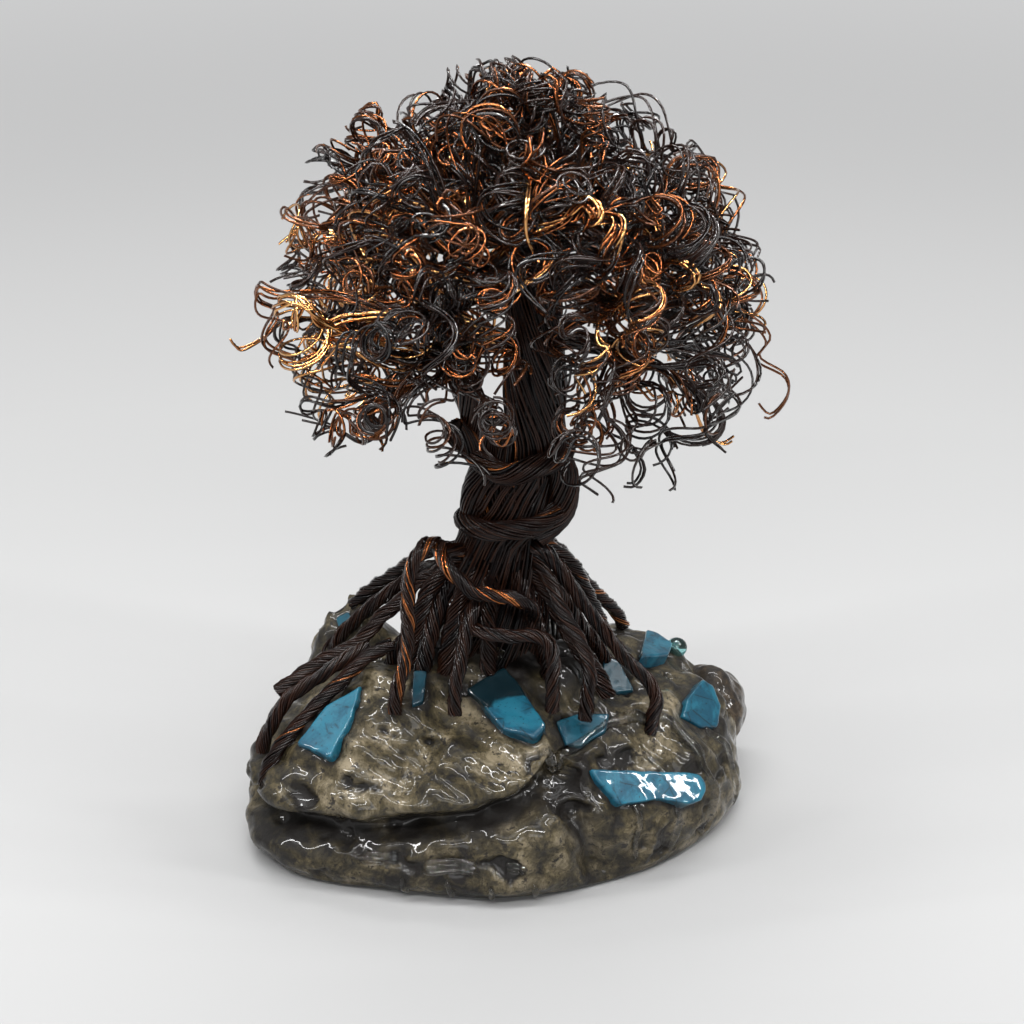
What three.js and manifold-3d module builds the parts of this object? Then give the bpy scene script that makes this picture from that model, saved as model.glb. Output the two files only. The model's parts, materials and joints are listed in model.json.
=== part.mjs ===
// Wire tree sculpture: a tree of twisted wire whose rope-like roots grip a rough stone set with
// turquoise chunks. Millimetres, +Z up. The origin is on the flat underside of the stone, below the trunk.
import * as THREE from "three";
import { mergeVertices } from "three/addons/utils/BufferGeometryUtils.js";
import Module from "manifold-3d";

const wasm = await Module();
wasm.setup();

// ---------------------------------------------------------------- driving sizes

const TAU = 2 * Math.PI;
const GAP = 0.35; // clearance left between pieces that touch
const WELD = 0.02; // corners closer than this are one corner

// The stone: outer radii every 30 degrees from +X, and a profile of [share of that radius, height].
const STONE_CENTRE = [-4, -1];
const STONE_RADII = [76, 76, 66, 55, 57, 67, 77, 78.5, 61, 57, 58, 66];
const STONE_PROFILE = [
  [0, 0], [0.5, 0], [0.9, 0], [0.985, 3.5], [1, 10], [0.99, 18], [0.95, 26],
  [0.86, 33.5], [0.72, 40], [0.55, 45.5], [0.37, 51], [0.18, 56.5], [0, 58],
];
const STONE_LUMPS = [
  { x: -53, y: 19, rise: 25, spread: 13 },
  { x: -42, y: -22, rise: 9, spread: 20 },
  { x: 44, y: 30, rise: 5, spread: 22 },
  { x: 2, y: 0, rise: 4, spread: 22 },
  { x: 30, y: -30, rise: -3, spread: 12 },
  { x: -18, y: 40, rise: 7, spread: 13 },
  { x: 14, y: 47, rise: -5, spread: 10 },
];
const STONE_ROUNDS = 28; // points round the stone
const STONE_RINGS = 13; // rings from the underside to the top
const ROUGHNESS = 1.3; // height of the broad lumps all over the stone

// Turquoise chunks: middle, facing direction, outline in [across, up] about the middle, and thickness.
const CHUNKS = {
  turquoise_left_blade: {
    at: [-52.9, -30.1, 45.1], facing: [-0.3, -0.45, 0.84], thick: 6,
    outline: [[1.4, 14.3], [-5.7, 3.9], [-7.7, -10.2], [5.3, -11.1], [4.6, 3.7]],
  },
  turquoise_sliver: {
    at: [-27.8, -25.9, 54.6], facing: [-0.05, -0.5, 0.86], thick: 4,
    outline: [[-2.1, 6.1], [-1.3, -6.6], [2, -4.4], [1.8, 6]],
  },
  turquoise_centre_front: {
    at: [-1.1, -28.7, 50.1], facing: [-0.03, -0.45, 0.89], thick: 6,
    outline: [[-13.1, 5.5], [-7.9, 0], [-1.1, -8.2], [8.2, -10.9], [11.5, -6.2], [2.4, 8.3], [-1.9, 13.9]],
  },
  turquoise_front_wedge: {
    at: [21.2, -28, 41.4], facing: [0.12, -0.5, 0.86], thick: 5,
    outline: [[-7.4, 4.1], [-6.3, -5.3], [-2.1, -5.5], [7, -1.3], [9.6, 4.6], [0.2, 5.9]],
  },
  turquoise_long_bar: {
    at: [43.4, -38.2, 26.8], facing: [0.42, -0.62, 0.66], thick: 7,
    outline: [[-19, 12.8], [-17.3, 5.7], [-14.1, -0.1], [-1.5, -2.3], [8.6, -7.2], [14.4, -7.1],
      [17, -3.4], [15.8, 0.5]],
  },
  turquoise_right_face: {
    at: [58.8, -3.5, 35.6], facing: [0.6, -0.42, 0.68], thick: 6,
    outline: [[7.8, 6.7], [-5.7, 4.3], [-10.9, 1.7], [-6, -4.8], [0.4, -8.4], [7.7, -3.5], [10.1, 2.6]],
  },
  turquoise_back_right: {
    at: [45.9, 17.2, 45.8], facing: [0.35, 0.05, 0.93], thick: 5,
    outline: [[9.4, 1.8], [-13, 8.6], [-5.1, -2.8], [4.1, -6.2], [9.4, -2.1]],
  },
  turquoise_under_roots: {
    at: [31.6, -5.2, 46.5], facing: [0.2, -0.4, 0.9], thick: 4,
    outline: [[0.3, 9], [-5.3, -0.5], [-1.6, -5.8], [3.8, -6.2], [4, 5.6]],
  },
  turquoise_back_lump: {
    at: [-52, 12, 57.4], facing: [-0.35, -0.14, 0.93], thick: 4,
    outline: [[-3, 2.5], [-3.5, -2], [2, -3], [3.5, 1.5]],
  },
};
const CHUNK_PROUD = 0.8; // how far a chunk stands out of the stone
const CHUNK_BEVEL = 0.7;

const BEAD = { at: [52.8, 24.3, 41.6], radius: 3.4 }; // clear dome on the right shoulder of the stone
const SIDE_STONE = { at: [64, 25, 17.8], half: [12.5, 15, 16.5] };

// Bundles of wire, each a run of [x, y, z, radius].
const CORE = [
  [-6, 3, 46, 24], [-6, 2, 62, 21], [-5, 1, 76, 17.5], [-4, 0, 87, 14.5], [-3, 0, 95, 12.6],
  [-0.5, 0, 103, 13.6], [0.5, 0, 111, 13], [4, 0, 119, 11], [6.6, 0, 127, 9.8],
  [6.7, 0, 140, 9.6], [6.5, 0, 157, 9], [6.2, 0.5, 176, 7.8], [6, 1, 195, 6], [6, 2, 211, 4],
];
const LEFT_BRANCH = [
  [-5, 0, 112, 6], [-9, -2, 124, 5.2], [-11.5, -3, 136, 4.8], [-16, -4, 150, 4.4], [-20, -5, 162, 4],
  [-27, -6, 177, 3],
];
const TRUNK_WRAPS = {
  cut_stub: [[-8, -3, 119, 4.5], [-13, -6, 126, 4.3], [-17, -8.5, 131.5, 4]],
  upper_band: [
    [-12.9, -3, 125, 3.6], [-8, -10, 121, 3.7], [-2.3, -12.6, 119, 3.7], [5.2, -12.6, 120.5, 3.7],
    [12.4, -9, 122, 3.6], [15.6, -2, 123, 3.4], [12, 6, 125, 3.2], [4, 9.5, 127, 3],
  ],
  right_fold: [[10, -6, 123, 4], [14.6, -6, 118, 4.7], [15.4, -6, 110, 4.9], [13.8, -7, 103, 4.6], [7, -9, 97, 4]],
  left_side: [[-8, -6, 121, 3.6], [-11, -5, 112, 3.9], [-11.5, -5, 104, 3.9], [-11, -5, 96, 3.8]],
  lower_band: [
    [-14, 2, 99, 3], [-14.5, -5, 100.4, 3.2], [-10, -11.5, 100.8, 3.3], [-2, -14.2, 101.3, 3.3],
    [8, -12.4, 102.6, 3.3], [14.2, -7, 106, 3.2], [13.5, 2, 107, 3],
  ],
};
const ROOTS = {
  front_left: [
    [-12, -5, 90], [-19.7, -8, 92.7], [-24.2, -12, 96.5], [-27.7, -16, 94.6], [-30.3, -19, 88.5],
    [-30.7, -22, 80.5], [-30.6, -25, 72.4], [-31.6, -28, 64.6], [-34.2, -31, 56], [-34.8, -32, 50],
  ],
  front_cross: [
    [-22, -11, 95], [-19.7, -17, 92], [-16.5, -19.5, 89], [-11.8, -21, 84.8], [-5, -21.5, 83.6],
    [0.6, -21.5, 82.6], [5.3, -19, 78.5], [7, -14, 72],
  ],
  front_centre: [[-9, -14, 80], [-11.8, -20, 77.4], [-14.2, -25, 70.1], [-15, -28, 65.8], [-16.6, -31, 59], [-17, -33, 50]],
  lying_loop: [
    [-14, -17, 74], [-11.8, -22.5, 73.2], [-2.4, -25.5, 72.3], [8, -24.5, 71.6], [11.8, -26.5, 67.5],
    [12, -29.5, 60], [12, -31, 50],
  ],
  front_right: [
    [6, -7, 90], [11.9, -14.5, 83.2], [14.8, -18.5, 76.9], [19.9, -22, 69], [23, -25, 61.5], [22.6, -28, 54], [22, -29, 46],
  ],
  long_right: [
    [4, -6, 93], [9.6, -10, 93], [14.9, -11, 86.2], [20.7, -12, 77.3], [28.3, -13, 66.4], [34.7, -14.6, 58.2],
    [40.6, -16, 52.6], [43.6, -18.6, 47.4], [42.6, -21, 41.5], [41.5, -22, 37],
  ],
  right_back: [[6, -2, 91], [12.4, -1, 89], [18.6, 3, 81.8], [22.4, 8, 72], [27, 15, 58.5], [30, 20, 48]],
  back_left_high: [[-13, 2, 88], [-24.2, 3, 87], [-30.7, 6, 81.3], [-37.4, 10.5, 74.1], [-44.5, 15, 67], [-50, 18, 60]],
  back_left_low: [[-13, 0, 83], [-25.3, -0.6, 82.6], [-35, 1.4, 75], [-44, 4.4, 66], [-52, 6, 57], [-58, 8, 48]],
  left_long: [
    [-14, -4, 82], [-26.2, -6, 82], [-33.9, -6.5, 74.2], [-40, -7, 68.6], [-46.5, -9, 61.6], [-56.5, -11, 56.6],
    [-63.6, -13, 52.6], [-71.4, -15, 47.6],
  ],
  left_middle: [
    [-44, -9, 61], [-50.6, -13, 57.8], [-60.6, -16, 51.6], [-67.9, -18, 47], [-71.6, -20, 41.5], [-75.2, -22, 34.6],
    [-76, -22.6, 31],
  ],
  left_low: [
    [-36, -13, 63], [-44.4, -15.5, 59.2], [-51.2, -19, 53.6], [-57.6, -22, 48.4], [-64.6, -25.6, 41.8],
    [-70.4, -28.4, 35.4], [-74, -30.4, 28.5], [-74.4, -30.6, 25],
  ],
  back_middle: [[2, 4, 92], [3, 14, 85], [7, 25, 70], [10, 35, 55.5], [11, 40, 47]],
  back_far_left: [[-8, 4, 91], [-12, 13, 84], [-19, 24, 69], [-27, 33, 54], [-30, 37, 46]],
  back_right: [[8, 3, 91], [15, 10, 83], [24, 19, 67], [33, 29, 52.5], [36, 33, 45]],
};
const ROOT_RADIUS = 2.5;
const ROOT_STEP = 8.5; // length of one piece of a root
const ROPE_TURN = 80; // length in which a rope's flats go once round

// The crown: an ellipsoid round its middle, filled by rings of curled locks. Polar angles run from the top.
const CROWN = { middle: [1, 0, 162], half: [74, 71, 75] };
const CROWN_RINGS = [
  { polar: 10, locks: 3, tufts: 1, leaves: 205, parted: false },
  { polar: 31, locks: 8, tufts: 4, leaves: 193, parted: false },
  { polar: 53, locks: 11, tufts: 4, leaves: 180, parted: false },
  { polar: 75, locks: 13, tufts: 5, leaves: 168, parted: true },
  { polar: 97, locks: 13, tufts: 5, leaves: 152, parted: true },
];
const PARTING = { azimuth: 276, half: 15 }; // the front opening that shows the trunk, in degrees
const LOCK = { radius: 1.9, steps: 8, coil: 5.4, turns: 1.6, reach: 19, snail: 9.5, snailTurns: 1.4, snailDepth: 13 };
const BRANCH_RADIUS = 2.6;
const STRAY_RADIUS = 1.1;
// Loose wires that stand out of the crown, each with the number of the tuft that it leaves.
const STRAYS = {
  15: [[29, -21, 150], [27, -20, 143], [25, -20, 137], [33, -20, 132.8], [38, -20, 125], [36.3, -20, 119.3], [32.8, -20, 119]],
  16: [[50, 9, 160], [62, 1, 166], [70, -4, 163], [74, -4, 157], [71, -4, 151], [79, -4, 146], [80.5, -4, 140], [76, -4, 134], [71.5, -4, 138]],
  18: [[-50, 10, 158], [-64.6, 7, 160], [-72, 6, 154], [-78.6, 5, 151], [-81.6, 4, 155]],
};
const HUB_INSET = 38; // how far inside the crown's surface a branch opens into its locks

const FINISHES = {
  stone: { color: 0x857b68, roughness: 0.35, metalness: 0 },
  darkStone: { color: 0x4e4334, roughness: 0.3, metalness: 0 },
  turquoise: { color: 0x2a86a8, roughness: 0.25, metalness: 0 },
  bead: { color: 0x2f6f74, roughness: 0.05, metalness: 0 },
  darkWire: { color: 0x2b2320, roughness: 0.35, metalness: 0.85 },
  copperWire: { color: 0x5a3a28, roughness: 0.35, metalness: 0.85 },
};

// ---------------------------------------------------------------- small maths

const bell = (x, width) => Math.exp(-((x / width) ** 2));
const radians = (degrees) => (degrees * Math.PI) / 180;
const smooth = (from, to, x) => THREE.MathUtils.smoothstep(x, from, to);
const lerp = THREE.MathUtils.lerp;

// A repeatable number from 0 to 1 for a whole number and a channel.
function chance(index, channel) {
  const wave = Math.sin(index * 12.9898 + channel * 78.233) * 43758.5453;
  return wave - Math.floor(wave);
}

// Catmull-Rom through rows of numbers, at a place counted in rows. A closed run wraps round.
function along(rows, place, closed = false) {
  const first = Math.floor(place);
  const f = place - first;
  const pick = (k) =>
    closed ? rows[(first + k + rows.length) % rows.length] : rows[Math.min(Math.max(first + k, 0), rows.length - 1)];
  const [a, b, c, d] = [pick(-1), pick(0), pick(1), pick(2)];
  return b.map(
    (_, i) =>
      0.5 *
      (2 * b[i] + (c[i] - a[i]) * f + (2 * a[i] - 5 * b[i] + 4 * c[i] - d[i]) * f ** 2 +
        (3 * b[i] - a[i] - 3 * c[i] + d[i]) * f ** 3),
  );
}

// Piecewise straight reading of y at x.
function table(x, xs, ys) {
  if (x <= xs[0]) return ys[0];
  const next = xs.findIndex((edge) => edge > x);
  if (next < 0) return ys[ys.length - 1];
  return lerp(ys[next - 1], ys[next], (x - xs[next - 1]) / (xs[next] - xs[next - 1]));
}

// ---------------------------------------------------------------- meshes and solids

function geometryOf(positions, index) {
  const geometry = new THREE.BufferGeometry();
  geometry.setAttribute("position", new THREE.Float32BufferAttribute(positions, 3));
  geometry.setIndex(index);
  return geometry;
}

function solidOf(geometry) {
  const bare = geometry.clone();
  bare.deleteAttribute("normal");
  bare.deleteAttribute("uv");
  const merged = mergeVertices(bare, 1e-4);
  return new wasm.Manifold(
    new wasm.Mesh({
      numProp: 3,
      vertProperties: new Float32Array(merged.attributes.position.array),
      triVerts: new Uint32Array(merged.index.array),
    }),
  );
}

function geometryFrom(solid) {
  const mesh = solid.getMesh();
  return geometryOf(Array.from(mesh.vertProperties), Array.from(mesh.triVerts));
}

const join = (solids) => solids.reduce((whole, next) => whole.add(next));

// The solid with corners closer than `distance` welded, so that no sliver of a triangle is left.
function welded(solid, distance) {
  const merged = mergeVertices(geometryFrom(solid), distance);
  const corners = Array.from(merged.index.array);
  const kept = [];
  for (let t = 0; t < corners.length; t += 3) {
    const [a, b, c] = corners.slice(t, t + 3);
    if (a !== b && b !== c && c !== a) kept.push(a, b, c);
  }
  return solidOf(geometryOf(Array.from(merged.attributes.position.array), kept));
}

// The outer skin alone: pockets of air sealed in between bundles are filled.
function outerSkin(solid) {
  const { vertProperties, triVerts, numProp } = solid.getMesh();
  const parent = Array.from({ length: vertProperties.length / numProp }, (_, i) => i);
  const root = (i) => {
    while (parent[i] !== i) {
      parent[i] = parent[parent[i]];
      i = parent[i];
    }
    return i;
  };
  for (let t = 0; t < triVerts.length; t += 3) {
    parent[root(triVerts[t])] = root(triVerts[t + 1]);
    parent[root(triVerts[t + 1])] = root(triVerts[t + 2]);
  }
  const shells = new Map();
  for (let t = 0; t < triVerts.length; t += 3) {
    const key = root(triVerts[t]);
    if (!shells.has(key)) shells.set(key, []);
    shells.get(key).push(...triVerts.slice(t, t + 3));
  }
  const largest = [...shells.values()].reduce((a, b) => (b.length > a.length ? b : a));
  return solidOf(geometryOf(Array.from(vertProperties), largest));
}

// A closed tube through rows of [x, y, z, radius]: its section has some lobes, which turn as it goes.
function tube(rows, { sides, lobes = 0, depth = 0, turn = Infinity, grow = 0 }) {
  const points = rows.map((row) => new THREE.Vector3(row[0], row[1], row[2]));
  const positions = [];
  const index = [];
  const tangentAt = (i) =>
    points[Math.min(i + 1, points.length - 1)].clone().sub(points[Math.max(i - 1, 0)]).normalize();
  let across = new THREE.Vector3(0.31, 0.95, 0.13).cross(tangentAt(0)).normalize();
  let travelled = 0;
  points.forEach((point, i) => {
    const tangent = tangentAt(i);
    across = across.sub(tangent.clone().multiplyScalar(across.dot(tangent))).normalize();
    const up = tangent.clone().cross(across);
    if (i > 0) travelled += point.distanceTo(points[i - 1]);
    for (let k = 0; k < sides; k++) {
      const angle = (k / sides) * TAU;
      const radius = (rows[i][3] + grow) * (1 - depth * (0.5 - 0.5 * Math.cos(lobes * angle)));
      const turned = angle + (travelled / turn) * TAU;
      const spot = point
        .clone()
        .addScaledVector(across, radius * Math.cos(turned))
        .addScaledVector(up, radius * Math.sin(turned));
      positions.push(spot.x, spot.y, spot.z);
    }
  });
  for (let i = 0; i + 1 < points.length; i++)
    for (let k = 0; k < sides; k++) {
      const [a, b] = [i * sides + k, i * sides + ((k + 1) % sides)];
      index.push(a, b, b + sides, a, b + sides, a + sides);
    }
  const last = (points.length - 1) * sides;
  for (let k = 1; k + 1 < sides; k++) {
    index.push(0, k + 1, k);
    index.push(last, last + k, last + k + 1);
  }
  return solidOf(geometryOf(positions, index));
}

// Rows laid along a smooth run, about `step` apart.
function smoothRun(controls, step) {
  let length = 0;
  for (let i = 1; i < controls.length; i++)
    length += Math.hypot(...[0, 1, 2].map((axis) => controls[i][axis] - controls[i - 1][axis]));
  const pieces = Math.max(2, Math.round(length / step));
  return Array.from({ length: pieces + 1 }, (_, i) => along(controls, (i / pieces) * (controls.length - 1)));
}

// ---------------------------------------------------------------- the stone

// A point of the stone's surface: `theta` goes round it, `rise` from 0 at the underside's middle to 1 on top.
function stonePoint(theta, rise) {
  const [outer] = along(STONE_RADII.map((radius) => [radius]), (theta / TAU) * STONE_RADII.length, true);
  let [share, z] = along(STONE_PROFILE, rise * (STONE_PROFILE.length - 1));
  z = Math.max(z, 0);
  const degrees = ((theta / TAU) * 360) % 360;
  let radius = share * outer;

  // An undercut groove runs below the left front lobe, and a ledge stands out under it.
  const grooveHeight = table(degrees, [190, 230, 262, 284, 300], [16, 19, 25, 31, 38]);
  const grooved = smooth(186, 200, degrees) * (1 - smooth(288, 302, degrees));
  radius -= 9 * grooved * bell(z - grooveHeight, 4.2);
  radius += 3.5 * grooved * bell(z - grooveHeight - 8.5, 5);
  radius += 1.5 * grooved * bell(z - 7, 5);

  // A crevice divides the two front lobes.
  const creviceAngle = radians(table(z, [0, 20, 36], [303, 296, 293]));
  radius -= 6.5 * bell((theta - creviceAngle) * 50, 4) * smooth(1, 8, z) * (1 - smooth(34, 42, z));

  // Blunt knuckles and hollows roughen the back.
  radius += 3 * Math.sin(5 * theta + 0.6) * Math.sin(0.15 * z + 2 * theta) * smooth(0.2, 0.8, Math.sin(theta)) * smooth(1, 9, z) * share;

  let x = STONE_CENTRE[0] + radius * Math.cos(theta);
  let y = STONE_CENTRE[1] + radius * Math.sin(theta);
  const upper = smooth(14, 36, z);
  for (const lump of STONE_LUMPS)
    z += lump.rise * Math.exp(-((x - lump.x) ** 2 + (y - lump.y) ** 2) / lump.spread ** 2) * upper;
  const rough =
    Math.sin(0.21 * x + 1.3) * Math.sin(0.19 * y + 0.4) +
    0.6 * Math.sin(0.43 * x + 0.31 * y + 2) * Math.sin(0.37 * z + 0.24 * y + 0.9);
  const free = smooth(1, 12, z);
  x += ROUGHNESS * rough * Math.cos(theta) * free;
  y += ROUGHNESS * rough * Math.sin(theta) * free;
  z += ROUGHNESS * rough * free * upper;
  return [x, y, z];
}

function stoneGeometry() {
  const positions = [...stonePoint(0, 0)];
  const index = [];
  const firstRise = 2 / (STONE_PROFILE.length - 1); // the underside is one flat fan up to here
  for (let ring = 0; ring < STONE_RINGS; ring++)
    for (let k = 0; k < STONE_ROUNDS; k++)
      positions.push(
        ...stonePoint((k / STONE_ROUNDS) * TAU, lerp(firstRise, 0.975, ring / (STONE_RINGS - 1))),
      );
  positions.push(...stonePoint(0, 1));
  const top = positions.length / 3 - 1;
  const at = (ring, k) => 1 + ring * STONE_ROUNDS + (k % STONE_ROUNDS);
  for (let k = 0; k < STONE_ROUNDS; k++) {
    index.push(0, at(0, k + 1), at(0, k));
    index.push(top, at(STONE_RINGS - 1, k), at(STONE_RINGS - 1, k + 1));
    for (let ring = 0; ring + 1 < STONE_RINGS; ring++)
      index.push(
        at(ring, k), at(ring, k + 1), at(ring + 1, k + 1),
        at(ring, k), at(ring + 1, k + 1), at(ring + 1, k),
      );
  }
  return geometryOf(positions, index);
}

// The same surface moved out along its normals, to cut what rests on it with the usual clearance.
function grown(geometry, distance) {
  const swollen = geometry.clone();
  swollen.computeVertexNormals();
  const { position, normal } = swollen.attributes;
  for (let i = 0; i < position.count; i++)
    position.setXYZ(
      i,
      position.getX(i) + distance * normal.getX(i),
      position.getY(i) + distance * normal.getY(i),
      position.getZ(i) + distance * normal.getZ(i),
    );
  return swollen;
}

// ---------------------------------------------------------------- turquoise chunks

function chunkSolid({ at, facing, outline, thick }, clearance) {
  const bevel = clearance ? clearance : CHUNK_BEVEL;
  const geometry = new THREE.ExtrudeGeometry(new THREE.Shape(outline.map(([x, y]) => new THREE.Vector2(x, y))), {
    depth: clearance ? thick : thick - 2 * CHUNK_BEVEL,
    bevelEnabled: true,
    bevelSegments: 1,
    bevelThickness: bevel,
    bevelSize: clearance ? 0 : CHUNK_BEVEL,
    bevelOffset: clearance ? clearance : -CHUNK_BEVEL,
  });
  geometry.translate(0, 0, CHUNK_PROUD - thick + (clearance ? 0 : CHUNK_BEVEL));
  const normal = new THREE.Vector3(...facing).normalize();
  const across = new THREE.Vector3(0, 0, 1).cross(normal).normalize();
  const up = normal.clone().cross(across);
  const place = new THREE.Matrix4().makeBasis(across, up, normal).setPosition(...at);
  return solidOf(geometry.applyMatrix4(place));
}

// ---------------------------------------------------------------- crown

// A point of the crown, `inset` inside its surface.
function crownPoint(azimuth, polar, inset) {
  const shrink = 1 - inset / CROWN.half[2];
  const direction = [
    Math.sin(polar) * Math.cos(azimuth),
    Math.sin(polar) * Math.sin(azimuth),
    Math.cos(polar),
  ];
  return new THREE.Vector3(...direction.map((part, i) => CROWN.middle[i] + part * CROWN.half[i] * shrink));
}

// The outward, hanging and sideways directions at a place of the crown.
function crownFrame(azimuth, polar, inset) {
  const middle = crownPoint(azimuth, polar, inset);
  const outward = crownPoint(azimuth, polar, 0).sub(middle).normalize();
  const hang = crownPoint(azimuth, polar + 0.01, inset).sub(middle).normalize();
  return { middle, outward, hang, side: outward.clone().cross(hang) };
}

// A coil that hangs down along the crown's surface, at a share of its way.
function coilSpot(azimuth, polar, swing, turn, share) {
  const spread = LOCK.reach / 2 / CROWN.half[2];
  const here = crownFrame(azimuth + swing * (2 * share - 1), polar + spread * (2 * share - 1), LOCK.coil + LOCK.radius);
  const reach = LOCK.coil * Math.min(1, 0.35 + 4 * share);
  return here.middle.addScaledVector(here.outward, reach * Math.cos(turn)).addScaledVector(here.side, reach * Math.sin(turn));
}

// A curl that winds outwards like a snail and faces out of the crown, at a share of its way.
function snailSpot(azimuth, polar, turn, share) {
  const here = crownFrame(azimuth, polar, lerp(LOCK.snailDepth, LOCK.radius, share));
  const reach = lerp(2, LOCK.snail, share);
  return here.middle.addScaledVector(here.hang, reach * Math.cos(turn)).addScaledVector(here.side, reach * Math.sin(turn));
}

// One lock: a straight stem from the hub, then a hanging coil or a snail-shaped curl, by turns.
function lockRows(hub, azimuth, polar, number) {
  const swing = radians(5) * (chance(number, 1) - 0.5);
  const phase = chance(number, 2) * TAU;
  const curls = Array.from({ length: LOCK.steps + 1 }, (_, step) => {
    const share = step / LOCK.steps;
    return number % 2
      ? snailSpot(azimuth, polar, phase + LOCK.snailTurns * TAU * share, share)
      : coilSpot(azimuth, polar, swing, phase + LOCK.turns * TAU * share, share);
  });
  return [hub, hub.clone().lerp(curls[0], 0.5), ...curls].map((spot) => [...spot.toArray(), LOCK.radius]);
}

// The azimuths of a ring's locks, from one side of the parting to the other where the ring is parted.
function lockAzimuths({ locks, parted }, ringNumber) {
  if (!parted)
    return Array.from({ length: locks }, (_, i) => radians(PARTING.azimuth) + ((i + 0.5) / locks) * TAU + ringNumber * 0.2);
  const start = PARTING.azimuth + PARTING.half;
  const sweep = 360 - 2 * PARTING.half;
  return Array.from({ length: locks }, (_, i) => radians(start + (sweep * i) / (locks - 1)));
}

function tuftSolids() {
  const tufts = [];
  CROWN_RINGS.forEach((ring, ringNumber) => {
    const azimuths = lockAzimuths(ring, ringNumber);
    const polar = radians(ring.polar);
    for (let tuft = 0; tuft < ring.tufts; tuft++) {
      const from = Math.round((tuft * ring.locks) / ring.tufts);
      const to = Math.round(((tuft + 1) * ring.locks) / ring.tufts);
      const own = azimuths.slice(from, to);
      const middle = own.reduce((sum, a) => sum + a, 0) / own.length;
      const hub = crownPoint(middle, polar * 0.93, ring.tufts === 1 ? 20 : HUB_INSET);
      if (ring.tufts === 1) hub.setX(6).setY(2);
      const trunk = along(CORE, table(ring.leaves, CORE.map((row) => row[2]), CORE.map((_, i) => i)));
      const start = new THREE.Vector3(trunk[0], trunk[1], ring.leaves);
      const knee = start.clone().lerp(hub, 0.5).add(new THREE.Vector3(0, 0, 3));
      const branch = smoothRun(
        [start, knee, hub].map((point) => [...point.toArray(), BRANCH_RADIUS]),
        12,
      );
      const pieces = [tube(branch, { sides: 4 })];
      own.forEach((azimuth, i) => {
        const number = ringNumber * 20 + from + i;
        pieces.push(tube(lockRows(hub, azimuth, polar, number), { sides: 3 }));
      });
      const stray = STRAYS[tufts.length + 1];
      if (stray) pieces.push(tube([hub.toArray(), ...stray].map((row) => [...row, STRAY_RADIUS]), { sides: 3 }));
      tufts.push(join(pieces));
    }
  });
  return tufts;
}

// ---------------------------------------------------------------- the whole tree

const wireTube = (controls, step, options) => tube(smoothRun(controls, step), options);
const core = (grow) => wireTube(CORE, 13, { sides: 10, lobes: 5, depth: 0.14, turn: 150, grow });
const leftBranch = (grow) => wireTube(LEFT_BRANCH, 11, { sides: 6, lobes: 3, depth: 0.12, turn: 120, grow });
const wraps = (grow) =>
  Object.values(TRUNK_WRAPS).map((rows) => wireTube(rows, 8, { sides: 5, turn: ROPE_TURN, grow }));
const roots = () =>
  Object.values(ROOTS).map((rows) =>
    wireTube(rows.map((row) => [...row, ROOT_RADIUS]), ROOT_STEP, { sides: 4, turn: ROPE_TURN }),
  );

function build() {
  const group = new THREE.Group();
  const put = (name, solid, finish) => {
    const mesh = new THREE.Mesh(geometryFrom(welded(solid, WELD)), new THREE.MeshStandardMaterial(FINISHES[finish]));
    mesh.name = name;
    group.add(mesh);
  };

  const stone = stoneGeometry();
  const stoneClearance = solidOf(grown(stone, GAP));
  const chunkClearances = Object.values(CHUNKS).map((chunk) => chunkSolid(chunk, GAP));
  const bead = new THREE.IcosahedronGeometry(BEAD.radius, 1).translate(...BEAD.at);
  const beadClearance = new THREE.IcosahedronGeometry(BEAD.radius + GAP, 1).translate(...BEAD.at);
  const socketed = [solidOf(stone), ...chunkClearances, solidOf(beadClearance)].reduce((a, b) => a.subtract(b));
  put("stone_base", socketed, "stone");

  const sideStone = new THREE.IcosahedronGeometry(1, 1);
  const { position } = sideStone.attributes;
  for (let i = 0; i < position.count; i++) {
    const p = [position.getX(i), position.getY(i), position.getZ(i)];
    const lump = 1 + 0.06 * Math.sin(5 * p[0] + 1) * Math.sin(4 * p[1] + 2) + 0.05 * Math.sin(6 * p[2]);
    position.setXYZ(i, ...p.map((part, axis) => SIDE_STONE.at[axis] + part * lump * SIDE_STONE.half[axis]));
  }
  put("side_stone", solidOf(sideStone).subtract(stoneClearance), "darkStone");
  put("clear_bead", solidOf(bead), "bead");
  for (const [name, chunk] of Object.entries(CHUNKS)) put(name, chunkSolid(chunk, 0), "turquoise");

  const tree = join([core(0), leftBranch(0), ...wraps(0), ...roots()]);
  const rests = [stoneClearance, ...chunkClearances].reduce((wood, cut) => wood.subtract(cut), tree);
  put("trunk_and_roots", outerSkin(rests), "darkWire");

  const treeClearance = join([core(GAP), leftBranch(GAP)]);
  tuftSolids().forEach((tuft, i) => {
    put(`crown_tuft_${String(i + 1).padStart(2, "0")}`, tuft.subtract(treeClearance), i % 3 ? "darkWire" : "copperWire");
  });
  return group;
}

export default build();
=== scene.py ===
"""Wire tree sculpture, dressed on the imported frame.

A trunk of twisted enamelled wire opens into a crown of curled wires. Its rope-like roots grip a rough
stone that is set with turquoise chunks and sealed in clear resin. Sizes are in millimetres, as in the
solids, until a mesh is made, which is in metres.
"""
import enum
import itertools
import json
import logging
import math
from dataclasses import dataclass, field
from typing import Any, Callable, Iterable, Iterator, Sequence

import bpy
import numpy as np
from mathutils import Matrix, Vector
from mathutils.bvhtree import BVHTree

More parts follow.
